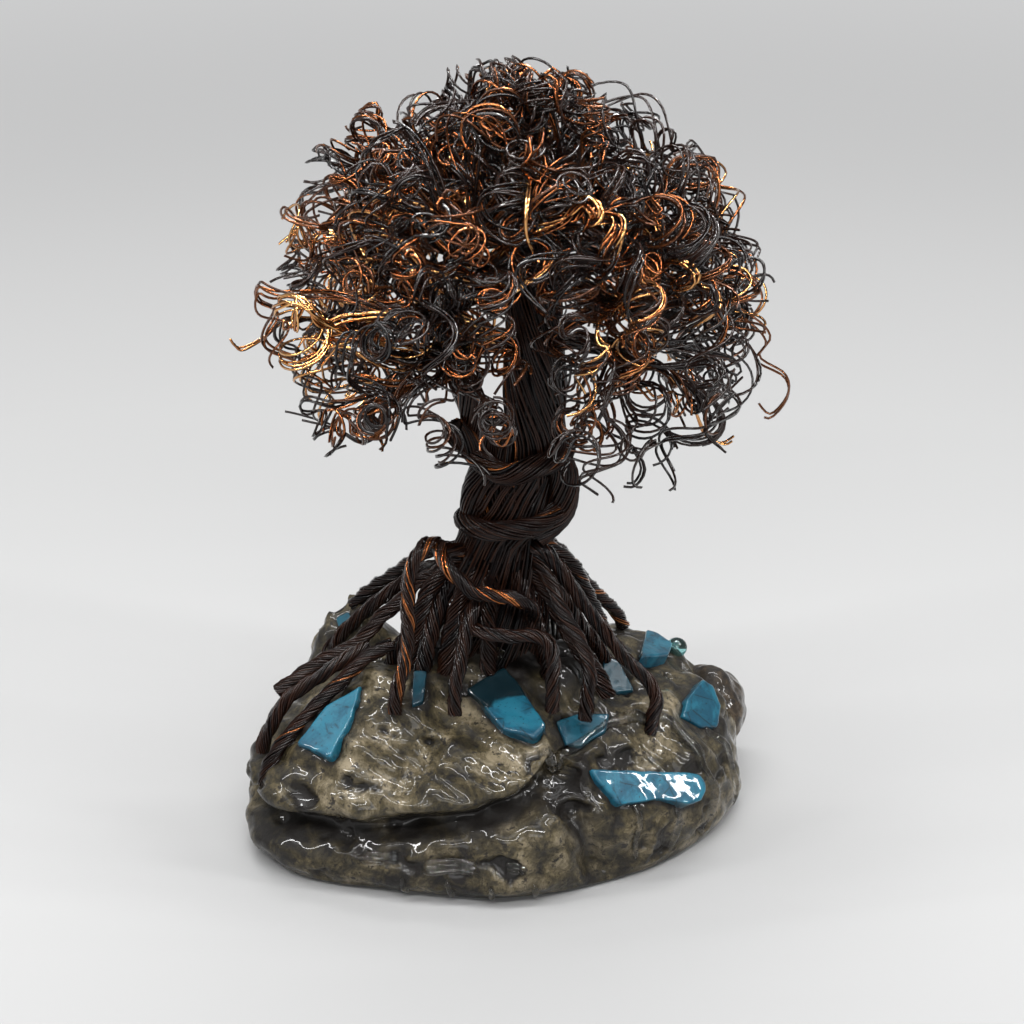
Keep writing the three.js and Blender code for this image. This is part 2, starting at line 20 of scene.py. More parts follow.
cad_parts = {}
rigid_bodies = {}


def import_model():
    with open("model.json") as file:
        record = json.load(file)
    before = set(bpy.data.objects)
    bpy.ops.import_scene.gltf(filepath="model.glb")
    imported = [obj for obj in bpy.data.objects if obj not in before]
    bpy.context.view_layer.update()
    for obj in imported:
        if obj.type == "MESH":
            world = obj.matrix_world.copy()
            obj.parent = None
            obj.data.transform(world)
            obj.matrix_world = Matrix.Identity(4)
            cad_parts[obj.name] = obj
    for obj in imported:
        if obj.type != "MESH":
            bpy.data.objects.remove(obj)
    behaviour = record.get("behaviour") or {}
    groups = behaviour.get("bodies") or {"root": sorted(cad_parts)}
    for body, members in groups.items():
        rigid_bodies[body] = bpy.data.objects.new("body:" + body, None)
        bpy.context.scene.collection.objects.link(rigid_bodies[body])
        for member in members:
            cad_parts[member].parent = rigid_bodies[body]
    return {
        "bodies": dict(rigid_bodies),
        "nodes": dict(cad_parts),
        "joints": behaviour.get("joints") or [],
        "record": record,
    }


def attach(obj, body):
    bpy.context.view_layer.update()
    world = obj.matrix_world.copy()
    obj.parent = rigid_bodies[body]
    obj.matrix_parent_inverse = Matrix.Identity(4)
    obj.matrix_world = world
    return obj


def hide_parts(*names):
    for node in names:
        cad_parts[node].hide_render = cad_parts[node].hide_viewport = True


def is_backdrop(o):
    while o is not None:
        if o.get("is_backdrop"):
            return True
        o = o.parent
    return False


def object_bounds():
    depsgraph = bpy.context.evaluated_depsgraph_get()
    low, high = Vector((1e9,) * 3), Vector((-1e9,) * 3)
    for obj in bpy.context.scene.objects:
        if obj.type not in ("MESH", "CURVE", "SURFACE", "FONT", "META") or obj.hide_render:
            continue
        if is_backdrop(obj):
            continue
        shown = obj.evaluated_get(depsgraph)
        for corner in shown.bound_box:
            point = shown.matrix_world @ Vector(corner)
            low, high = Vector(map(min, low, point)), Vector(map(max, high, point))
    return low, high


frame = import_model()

Array = np.ndarray
Rows = Sequence[Sequence[float]]
Colour = tuple[float, float, float]

TAU = 2 * math.pi
MM = 0.001
WIRE_SIDES = 4
CURL_SIDES = 3

logging.basicConfig(level=logging.INFO, format="%(name)s: %(message)s")
log = logging.getLogger("wire_tree")
cad_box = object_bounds()


# ---------------------------------------------------------------- small maths


def chance(index: Any, channel: float) -> Any:
    """A repeatable number from 0 to 1 for a whole number, or an array of them. The channel keeps draws apart."""
    wave = np.sin(np.asarray(index, float) * 12.9898 + channel * 78.233) * 43758.5453
    return wave - np.floor(wave)


def between(low: float, high: float, index: Any, channel: float) -> Any:
    """A repeatable number from low to high."""
    return low + (high - low) * chance(index, channel)


def smooth(start: float, end: float, value: Any) -> Any:
    """0 before start, 1 after end, and a soft step between them."""
    share = np.clip((np.asarray(value, float) - start) / (end - start), 0, 1)
    return share * share * (3 - 2 * share)


def bell(value: Any, width: float) -> Any:
    """A bell curve of height 1 round 0."""
    return np.exp(-((np.asarray(value, float) / width) ** 2))


def unit(vectors: Array) -> Array:
    """The vectors at length 1."""
    return vectors / np.maximum(np.linalg.norm(vectors, axis=-1, keepdims=True), 1e-12)


def along(rows: Array, place: Any, closed: bool = False) -> Array:
    """Reads a smooth curve through rows of numbers.

    Args:
        rows: the rows, each one a point or any list of numbers.
        place: where to read, counted in rows, as one number or an array.
        closed: whether the last row leads back to the first.

    Returns:
        One row of numbers for each place.
    """
    rows = np.asarray(rows, float)
    place = np.asarray(place, float)
    first = np.floor(place).astype(int)
    share = (place - first)[..., None]
    count = len(rows)

    def pick(step: int) -> Array:
        """The row that lies step rows from the first one."""
        number = first + step
        return rows[number % count] if closed else rows[np.clip(number, 0, count - 1)]

    a, b, c, d = (pick(step) for step in (-1, 0, 1, 2))
    return 0.5 * (
        2 * b + (c - a) * share + (2 * a - 5 * b + 4 * c - d) * share**2 + (3 * b - a - 3 * c + d) * share**3
    )


@dataclass(frozen=True)
class Grain:
    """Repeatable lumps in space, from smooth noise on a lattice.

    Attributes:
        seed: which lattice it is.
        cells: cells along each side before the pattern comes round again.
    """

    seed: int
    cells: int = 32

    def at(self, points: Array, size: float) -> Array:
        """Noise from 0 to 1 at points, with lumps about as large as size."""
        lattice = np.random.default_rng(self.seed).random((self.cells,) * 3)
        place = points / size
        first = np.floor(place).astype(int)
        share = smooth(0, 1, place - first)
        total = np.zeros(points.shape[:-1])
        for corner in itertools.product((0, 1), repeat=3):
            weight = np.prod(np.where(np.array(corner) == 1, share, 1 - share), axis=-1)
            cell = (first + np.array(corner)) % self.cells
            total += weight * lattice[cell[..., 0], cell[..., 1], cell[..., 2]]
        return total

    def layered(self, points: Array, size: float, layers: int) -> Array:
        """Noise about 0 in layers, each half the size and strength of the one before."""
        total = np.zeros(points.shape[:-1])
        for layer in range(layers):
            shifted = points + 17.3 * layer
            total += (self.at(shifted, size / 2**layer) - 0.5) / 2**layer
        return total


# ---------------------------------------------------------------- paths and wires


@dataclass
class Path:
    """A smooth run of places with a radius at each, and frames that don't twist along it.

    Attributes:
        points: the places, one row each.
        radii: the radius at each place.
        travelled: the length up to each place.
        across: a direction square to the run at each place.
        up: the direction square to both.
    """

    points: Array
    radii: Array
    travelled: Array = field(init=False)
    across: Array = field(init=False)
    up: Array = field(init=False)

    def __post_init__(self) -> None:
        """Works out lengths and frames."""
        steps = np.linalg.norm(np.diff(self.points, axis=0), axis=1)
        self.travelled = np.concatenate([[0], np.cumsum(steps)])
        tangents = unit(np.gradient(self.points, axis=0))
        across = np.empty_like(self.points)
        side = unit(np.cross([0.31, 0.95, 0.13], tangents[0]))
        for i, tangent in enumerate(tangents):
            side = unit(side - tangent * np.dot(side, tangent))
            across[i] = side
        self.across = across
        self.up = np.cross(tangents, across)

    @classmethod
    def through(cls, rows: Rows, step: float) -> "Path":
        """Makes the run through rows of x, y, z and radius, with places about a step apart."""
        controls = np.asarray(rows, float)
        length = np.linalg.norm(np.diff(controls[:, :3], axis=0), axis=1).sum()
        pieces = max(4, round(length / step))
        found = along(controls, np.linspace(0, len(controls) - 1, pieces + 1) * (1 - 1e-9))
        return cls(found[:, :3], found[:, 3])

    def eased(self, times: int) -> "Path":
        """The run with its bends rounded off a number of times, between the same ends."""
        points = self.points.copy()
        for _ in range(times):
            points[1:-1] = 0.5 * points[1:-1] + 0.25 * (points[2:] + points[:-2])
        return Path(points, self.radii)

    def around(self, angles: Array, reach: Array) -> Array:
        """Places round the run, at an angle and a distance from its middle for each place."""
        return (
            self.points
            + self.across * (reach * np.cos(angles))[:, None]
            + self.up * (reach * np.sin(angles))[:, None]
        )


@dataclass
class Strands:
    """Wires as runs of points.

    Attributes:
        runs: the places along each wire.
        tones: each wire's tone, from 0 for dark enamel to 1 for bare copper.
        girths: how many wire radii thick each place is.
    """

    runs: list[Array] = field(default_factory=list)
    tones: list[float] = field(default_factory=list)
    girths: list[Array] = field(default_factory=list)

    def add(self, points: Array, tone: float, girth: Array | float = 1.0) -> None:
        """Adds one wire."""
        self.runs.append(points)
        self.tones.append(float(tone))
        self.girths.append(np.broadcast_to(np.asarray(girth, float), (len(points),)))

    def length(self) -> float:
        """The length of all wires together, in metres."""
        return sum(np.linalg.norm(np.diff(run, axis=0), axis=1).sum() for run in self.runs) * MM

    def mesh(self, name: str) -> bpy.types.Mesh:
        """A mesh of edges that carries each wire's tone and girth."""
        points = np.concatenate(self.runs) * MM
        counts = [len(run) for run in self.runs]
        starts = np.cumsum([0, *counts[:-1]])
        first = np.concatenate([start + np.arange(count - 1) for start, count in zip(starts, counts)])
        made = bpy.data.meshes.new(name)
        made.vertices.add(len(points))
        made.vertices.foreach_set("co", points.astype(np.float32).ravel())
        made.edges.add(len(first))
        made.edges.foreach_set("vertices", np.stack([first, first + 1], axis=1).astype(np.int32).ravel())
        tone = made.attributes.new("tone", "FLOAT", "POINT")
        tone.data.foreach_set("value", np.repeat(self.tones, counts).astype(np.float32))
        girth = made.attributes.new("girth", "FLOAT", "POINT")
        girth.data.foreach_set("value", np.concatenate(self.girths).astype(np.float32))
        made.update()
        return made


class WireSweep:
    """Geometry Nodes that turn runs of edges into round wire with closed ends."""

    RADIUS = "Wire Radius"
    SIDES = "Sides"
    FINISH = "Finish"

    def __init__(self) -> None:
        """Builds the node tree once, for every bundle of wire."""
        tree = bpy.data.node_groups.new("wire_sweep", "GeometryNodeTree")
        face = tree.interface
        face.new_socket("Geometry", in_out="INPUT", socket_type="NodeSocketGeometry")
        self.inputs = {
            name: face.new_socket(name, in_out="INPUT", socket_type=kind).identifier
            for name, kind in (
                (self.RADIUS, "NodeSocketFloat"),
                (self.SIDES, "NodeSocketInt"),
                (self.FINISH, "NodeSocketMaterial"),
            )
        }
        face.new_socket("Geometry", in_out="OUTPUT", socket_type="NodeSocketGeometry")
        nodes, link = tree.nodes, tree.links.new
        given = nodes.new("NodeGroupInput")
        curve = nodes.new("GeometryNodeMeshToCurve")
        girth = nodes.new("GeometryNodeInputNamedAttribute")
        girth.data_type = "FLOAT"
        girth.inputs["Name"].default_value = "girth"
        section = nodes.new("GeometryNodeCurvePrimitiveCircle")
        sweep = nodes.new("GeometryNodeCurveToMesh")
        sweep.inputs["Fill Caps"].default_value = True
        shade = nodes.new("GeometryNodeSetShadeSmooth")
        real = nodes.new("GeometryNodeRealizeInstances")
        finish = nodes.new("GeometryNodeSetMaterial")
        result = nodes.new("NodeGroupOutput")
        link(given.outputs["Geometry"], curve.inputs["Mesh"])
        link(given.outputs[self.SIDES], section.inputs["Resolution"])
        link(given.outputs[self.RADIUS], section.inputs["Radius"])
        link(curve.outputs["Curve"], sweep.inputs["Curve"])
        link(section.outputs["Curve"], sweep.inputs["Profile Curve"])
        link(girth.outputs["Attribute"], sweep.inputs["Scale"])
        link(sweep.outputs["Mesh"], shade.inputs["Geometry"])
        link(shade.outputs["Geometry"], real.inputs["Geometry"])
        link(real.outputs["Geometry"], finish.inputs["Geometry"])
        link(given.outputs[self.FINISH], finish.inputs["Material"])
        link(finish.outputs["Geometry"], result.inputs["Geometry"])
        self.tree = tree

    def make(
        self, name: str, strands: Strands, radius: float, sides: int, finish: bpy.types.Material
    ) -> bpy.types.Object:
        """Sweeps strands into one plain mesh object.

        Args:
            name: the piece's name.
            strands: the wires.
            radius: the wire's radius in millimetres.
            sides: how many sides the wire's section has.
            finish: the material of the wire.

        Returns:
            The finished object, with no modifier left on it.
        """
        path = bpy.data.objects.new(name + "_path", strands.mesh(name + "_path"))
        bpy.context.scene.collection.objects.link(path)
        modifier = path.modifiers.new("sweep", "NODES")
        modifier.node_group = self.tree
        modifier[self.inputs[self.RADIUS]] = radius * MM
        modifier[self.inputs[self.SIDES]] = sides
        modifier[self.inputs[self.FINISH]] = finish
        graph = bpy.context.evaluated_depsgraph_get()
        made = bpy.data.meshes.new_from_object(
            path.evaluated_get(graph), preserve_all_data_layers=True, depsgraph=graph
        )
        edges = path.data
        bpy.data.objects.remove(path)
        bpy.data.meshes.remove(edges)
        made.name = name
        return place(name, made)


# ---------------------------------------------------------------- meshes


def place(name: str, made: bpy.types.Mesh, *finishes: bpy.types.Material) -> bpy.types.Object:
    """Puts a mesh into the scene at the origin, with its materials."""
    for finish in finishes:
        made.materials.append(finish)
    piece = bpy.data.objects.new(name, made)
    bpy.context.scene.collection.objects.link(piece)
    return piece


def surface_mesh(name: str, points: Array, faces: Array, values: dict[str, Array] | None = None) -> bpy.types.Mesh:
    """A smooth-shaded mesh.

    Args:
        name: the mesh's name.
        points: corners in millimetres, one row each.
        faces: triangles or quads as rows of corner numbers; a triangle in a quad row repeats its last corner.
        values: numbers for each corner, kept as attributes by name.

    Returns:
        The mesh, in metres.
    """
    made = bpy.data.meshes.new(name)
    rows = [list(dict.fromkeys(row)) for row in faces.tolist()]
    made.from_pydata((points * MM).tolist(), [], rows)
    for key, numbers in (values or {}).items():
        made.attributes.new(key, "FLOAT", "POINT").data.foreach_set("value", np.asarray(numbers, np.float32))
    made.polygons.foreach_set("use_smooth", np.ones(len(made.polygons), bool))
    made.update()
    return made


def closed_grid(rings: int, rounds: int) -> Array:
    """Faces of a closed surface: rings of points that go round, between a first and a last single point.

    Returns:
        Rows of four corner numbers, facing out where the rings rise and go anticlockwise from above.
    """
    ring, k = np.meshgrid(np.arange(rings - 1), np.arange(rounds), indexing="ij")
    near = 1 + ring * rounds + k
    far = 1 + ring * rounds + (k + 1) % rounds
    sides = np.stack([near, far, far + rounds, near + rounds], axis=-1).reshape(-1, 4)
    k = np.arange(rounds)
    last = 1 + (rings - 1) * rounds
    bottom = np.stack([np.zeros_like(k), 1 + (k + 1) % rounds, 1 + k, 1 + k], axis=-1)
    after = last + (k + 1) % rounds
    top = np.stack([np.full_like(k, last + rounds), last + k, after, after], axis=-1)
    return np.concatenate([bottom, sides, top])


def ball(rings: int, rounds: int) -> Array:
    """Points of a ball of radius 1, ordered for closed_grid: the lowest point, the rings, and the highest."""
    t, p = np.meshgrid(np.arange(rounds) / rounds * TAU, np.linspace(math.pi, 0, rings + 2)[1:-1])
    sides = np.stack([np.sin(p) * np.cos(t), np.sin(p) * np.sin(t), np.cos(p)], axis=-1).reshape(-1, 3)
    return np.concatenate([[[0, 0, -1.0]], sides, [[0, 0, 1.0]]])


def turned(points: Array, middle: Sequence[float], facing: Sequence[float]) -> Array:
    """Moves points from a flat frame, across, up and out, to a middle and a facing direction."""
    out = unit(np.asarray(facing, float))
    across = unit(np.cross([0.0, 0.0, 1.0], out))
    up = np.cross(out, across)
    return np.asarray(middle, float) + points @ np.stack([across, up, out])


def edge_distance(outline: Array, places: Array) -> Array:
    """Distances from an outline to places in its plane, below 0 for those inside it."""
    least = np.full(places.shape[:-1], np.inf)
    inside = np.zeros(places.shape[:-1], bool)
    for start, end in zip(outline, np.roll(outline, -1, axis=0)):
        edge, reach = end - start, places - start
        share = np.clip(reach @ edge / np.dot(edge, edge), 0, 1)
        least = np.minimum(least, np.linalg.norm(reach - share[..., None] * edge, axis=-1))
        rise = edge[1] if abs(edge[1]) > 1e-9 else 1e-9
        crosses = (start[1] > places[..., 1]) != (end[1] > places[..., 1])
        inside ^= crosses & (places[..., 0] < start[0] + edge[0] * reach[..., 1] / rise)
    return np.where(inside, -least, least)


# ---------------------------------------------------------------- shaders


class Value:
    """A number that changes over a surface: a shader socket with the usual sums."""

    def __init__(self, shader: "Shader", socket: bpy.types.NodeSocket) -> None:
        """Wraps an output socket of a shader's node."""
        self.shader = shader
        self.socket = socket

    def _sum(self, operation: str, *values: Any) -> "Value":
        """A Math node on values, clamped only where its operation says so."""
        node = self.shader.node("ShaderNodeMath", {"operation": operation}, dict(enumerate(values)))
        return Value(self.shader, node.outputs[0])

    def __add__(self, other: Any) -> "Value":
        """self + other."""
        return self._sum("ADD", self, other)

    def __sub__(self, other: Any) -> "Value":
        """self - other."""
        return self._sum("SUBTRACT", self, other)

    def __mul__(self, other: Any) -> "Value":
        """self * other."""
        return self._sum("MULTIPLY", self, other)

    def __radd__(self, other: Any) -> "Value":
        """other + self."""
        return self._sum("ADD", other, self)

    def __rsub__(self, other: Any) -> "Value":
        """other - self."""
        return self._sum("SUBTRACT", other, self)

    def __rmul__(self, other: Any) -> "Value":
        """other * self."""
        return self._sum("MULTIPLY", other, self)

    def step(self, start: float, end: float) -> "Value":
        """0 below start, 1 above end, with a soft step between."""
        settings = {"interpolation_type": "SMOOTHSTEP"}
        node = self.shader.node("ShaderNodeMapRange", settings, {"Value": self, "From Min": start, "From Max": end})
        return Value(self.shader, node.outputs["Result"])

    def larger(self, other: Any) -> "Value":
        """The larger of the two."""
        return self._sum("MAXIMUM", self, other)


class Shader:
    """A material and the few node helpers that its finish is written with."""

    def __init__(self, name: str) -> None:
        """Starts a material with one Principled shader."""
        self.material = bpy.data.materials.new(name)
        self.material.use_nodes = True
        self.tree = self.material.node_tree
        self.surface = self.tree.nodes["Principled BSDF"]
        self.coordinates = self.tree.nodes.new("ShaderNodeTexCoord").outputs["Object"]

    def node(self, kind: str, settings: dict[str, Any], sockets: dict[Any, Any]) -> bpy.types.Node:
        """Makes a node.

        Args:
            kind: the node's type.
            settings: the node's own settings, set first. A ramp's stops go under "stops".
            sockets: values, sockets or Values for its inputs, by name or number.

        Returns:
            The node.
        """
        made = self.tree.nodes.new(kind)
        for key, setting in settings.items():
            if key == "stops":
                self._stops(made.color_ramp, setting)
            else:
                setattr(made, key, setting)
        for key, given in sockets.items():
            self.give(made.inputs[key], given)
        return made

    @staticmethod
    def _stops(ramp: bpy.types.ColorRamp, stops: Sequence[tuple[float, Colour]]) -> None:
        """Sets a ramp's stops from places and colours."""
        while len(ramp.elements) < len(stops):
            ramp.elements.new(1.0)
        for element, (where, colour) in zip(ramp.elements, stops):
            element.position = where
            element.color = (*colour, 1.0)

    def give(self, socket: bpy.types.NodeSocket, given: Any) -> None:
        """Links a socket to a Value or a socket, or sets it to a plain value."""
        if isinstance(given, Value):
            self.tree.links.new(given.socket, socket)
        elif isinstance(given, bpy.types.NodeSocket):
            self.tree.links.new(given, socket)
        else:
            socket.default_value = given

    def dress(self, **sockets: Any) -> "Shader":
        """Sets the Principled shader's sockets by name, with _ for a space."""
        for key, given in sockets.items():
            colour = isinstance(given, tuple) and len(given) == 3
            self.give(self.surface.inputs[key.replace("_", " ")], (*given, 1.0) if colour else given)
        return self

    def attribute(self, name: str) -> Value:
        """A number kept at the corners of the mesh."""
        node = self.node("ShaderNodeAttribute", {"attribute_name": name, "attribute_type": "GEOMETRY"}, {})
        return Value(self, node.outputs["Fac"])

    def noise(self, size: float, detail: float = 2.0, roughness: float = 0.5, twist: float = 0.0) -> Value:
        """Noise from 0 to 1 with lumps of a size in millimetres."""
        sockets = {
            "Vector": self.coordinates,
            "Scale": 1 / (size * MM),
            "Detail": detail,
            "Roughness": roughness,
            "Distortion": twist,
        }
        return Value(self, self.node("ShaderNodeTexNoise", {}, sockets).outputs["Fac"])

    def cells(self, size: float, feature: str = "F1") -> Value:
        """The distance to the middle, or to the edge, of scattered cells."""
        node = self.node(
            "ShaderNodeTexVoronoi", {"feature": feature}, {"Vector": self.coordinates, "Scale": 1 / (size * MM)}
        )
        return Value(self, node.outputs["Distance"])

    def ramp(self, place: Value, *stops: tuple[float, Colour]) -> bpy.types.NodeSocket:
        """Colours along a value."""
        return self.node("ShaderNodeValToRGB", {"stops": stops}, {"Fac": place}).outputs["Color"]

    def mix(self, share: Value, first: Any, second: Any) -> bpy.types.NodeSocket:
        """The first colour where share is 0 and the second where it is 1."""
        node = self.node("ShaderNodeMix", {"data_type": "RGBA"}, {"Factor": share})
        colour_a, colour_b = (s for s in node.inputs if s.name in "AB" and s.type == "RGBA")
        for socket, given in ((colour_a, first), (colour_b, second)):
            self.give(socket, (*given, 1.0) if isinstance(given, tuple) else given)
        return next(s for s in node.outputs if s.type == "RGBA")

    def bump(self, height: Value, depth: float, strength: float = 1.0) -> bpy.types.NodeSocket:
        """A normal from a height, for relief about as deep as depth in millimetres."""
        sockets = {"Height": height, "Distance": depth * MM, "Strength": strength}
        return self.node("ShaderNodeBump", {}, sockets).outputs["Normal"]


# ---------------------------------------------------------------- finishes


@dataclass(frozen=True)
class WireFinish:
    """Enamelled copper wire, from near-black enamel to clear enamel over bright copper.

    Attributes:
        name: the material's name.
        resin: how much clear resin lies on it, from 0 to 1.
        roughness: how dull the enamel is at its glossiest.
        sheen: the index of refraction of enamel and resin, which sets how much they mirror.
    """

    name: str
    resin: float
    roughness: float
    sheen: float
    dark: Colour = (0.0025, 0.0018, 0.002)
    umber: Colour = (0.028, 0.010, 0.005)
    copper: Colour = (0.36, 0.125, 0.04)
    gold: Colour = (0.90, 0.50, 0.19)

    def material(self) -> bpy.types.Material:
        """Builds the material, which reads each wire's tone."""
        shader = Shader(self.name)
        tone = shader.attribute("tone")
        wear = shader.noise(2.2, 3)
        place = tone + (wear - 0.5) * 0.16
        colour = shader.ramp(place, (0.0, self.dark), (0.38, self.umber), (0.68, self.copper), (1.0, self.gold))
        shader.dress(
            Base_Color=colour,
            Metallic=tone.step(0.2, 0.6),
            Roughness=self.roughness + 0.1 * wear,
            Coat_Weight=self.resin,
            Coat_Roughness=0.05,
            Coat_IOR=self.sheen,
            IOR=self.sheen,
        )
        return shader.material


@dataclass(frozen=True)
class StoneFinish:
    """Rough mottled stone, wet with clear resin.

    Attributes:
        name: the material's name.
        deep: the colour of pits and cracks, also painted as shade in hollows, the groove, the crevice and under the
            roots.
        body: the usual colour.
        pale: the colour of worn faces.
        olive: the colour of damp patches.
        gloss: how rough the resin over it is.
    """

    name: str
    deep: Colour
    body: Colour
    pale: Colour
    olive: Colour
    gloss: float = 0.05

    def material(self) -> bpy.types.Material:
        """Builds the material, which reads how deep each place lies, and so where pits are dark and where shade is
        painted.
        """
        shader = Shader(self.name)
        pits_and_painted_shade = shader.attribute("pits_and_painted_shade")
        broad = shader.noise(24, 4, 0.6, 0.3)
        spots = shader.noise(6.5, 7, 0.72, 0.5)
        fine = shader.noise(1.3, 4, 0.65)
        patches = 0.45 * broad + 0.55 * spots
        mottle = shader.ramp(patches, (0.42, self.deep), (0.475, self.olive), (0.525, self.body), (0.63, self.pale))
        flecks = fine.step(0.54, 0.66) * 0.8
        holes = shader.noise(3.2, 3, 0.6).step(0.60, 0.66)
        # The deep colour goes on real flecks, holes and pits, and as painted shade in hollows, the groove, the crevice
        # and under the roots.
        specks_and_painted_shade = pits_and_painted_shade.larger(holes * 0.9).larger(flecks)
        colour = shader.mix(specks_and_painted_shade, mottle, self.deep)
        relief = 0.6 * spots + 0.4 * fine
        shader.dress(
            Base_Color=colour,
            Roughness=0.5 + 0.3 * fine,
            Specular_IOR_Level=0.3,
            Coat_Weight=0.6 + 0.4 * broad.step(0.4, 0.6),
            Coat_Roughness=self.gloss,
            Coat_IOR=1.33,
            Normal=shader.bump(relief, 0.6, 0.9),
        )
        return shader.material


@dataclass(frozen=True)
class TurquoiseFinish:
    """Turquoise with darker patches and fine specks, sealed in clear resin."""

    name: str
    light: Colour = (0.010, 0.115, 0.175)
    blue: Colour = (0.003, 0.058, 0.10)
    teal: Colour = (0.0005, 0.010, 0.015)
    speck: Colour = (0.004, 0.012, 0.014)

    def material(self) -> bpy.types.Material:
        """Builds the material, which reads how dark each place of a chunk is."""
        shader = Shader(self.name)
        shade = shader.attribute("shade")
        clouds = shader.noise(7, 4, 0.6, 0.4)
        body = shader.mix(clouds.step(0.42, 0.62), self.light, self.blue)
        veins = 1 - shader.cells(9, "DISTANCE_TO_EDGE").step(0.0, 0.035)
        specks = shader.noise(0.9, 3, 0.6).step(0.60, 0.70)
        marked = shader.mix(specks.larger(veins * clouds.step(0.45, 0.6)) * 0.75, body, self.speck)
        colour = shader.mix(shade, marked, self.teal)
        shader.dress(
            Base_Color=colour,
            Roughness=0.3 + 0.2 * clouds,
            Specular_IOR_Level=0.25,
            Coat_Weight=1.0,
            Coat_Roughness=0.04,
            Coat_IOR=1.33,
            Normal=shader.bump(clouds, 0.3, 0.6),
        )
        return shader.material


@dataclass(frozen=True)
class ResinFinish:
    """Clear glossy resin that light passes through."""

    name: str
    tint: Colour

    def material(self) -> bpy.types.Material:
        """Builds the material from plain values alone."""
        shader = Shader(self.name)
        shader.dress(Base_Color=self.tint, Roughness=0.03, Transmission_Weight=1.0, IOR=1.5, Metallic=0.0)
        return shader.material


@dataclass(frozen=True)
class PlainFinish:
    """The studio's even, pale floor.

    Attributes:
        name: the material's name.
        colour: its colour near the object.
        distant: its colour far off, which makes up for the weaker light there.
        glow: the light that it gives off far away, so that the surround stays pale from every side.
        near: where the one colour starts to change, in metres from the middle.
        far: where the other is reached.
    """

    name: str
    colour: Colour
    distant: Colour
    glow: Colour
    near: float = 0.2
    far: float = 1.3

    def material(self) -> bpy.types.Material:
        """Builds the material."""
        shader = Shader(self.name)
        length = shader.node("ShaderNodeVectorMath", {"operation": "LENGTH"}, {0: shader.coordinates})
        distance = Value(shader, length.outputs["Value"])
        shader.dress(
            Base_Color=shader.mix(distance.step(self.near, self.far), self.colour, self.distant),
            Roughness=0.8,
            Specular_IOR_Level=0.15,
            Emission_Color=shader.mix(distance.step(0.5 * self.far, 1.5 * self.far), (0.0, 0.0, 0.0), self.glow),
            Emission_Strength=1.0,
        )
        return shader.material


class Slot(enum.Enum):
    """The record's material slots."""

    STONE = "stone"
    DARK_STONE = "dark_stone"
    TURQUOISE = "turquoise"
    RESIN = "clear_resin"
    DARK_WIRE = "dark_wire"
    COPPER_WIRE = "copper_wire"


def settle(piece: bpy.types.Object, slot: Slot, *nodes: str) -> bpy.types.Object:
    """Joins a finished piece to the object's body and hides the solids that it stands for."""
    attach(piece, "root")
    if nodes:
        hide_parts(*nodes)
    log.info("%s: %d faces", piece.name, len(piece.data.polygons))
    return piece


# ---------------------------------------------------------------- the stone


@dataclass(frozen=True)
class Lump:
    """A rise or hollow of the stone's upper side."""

    x: float
    y: float
    rise: float
    spread: float


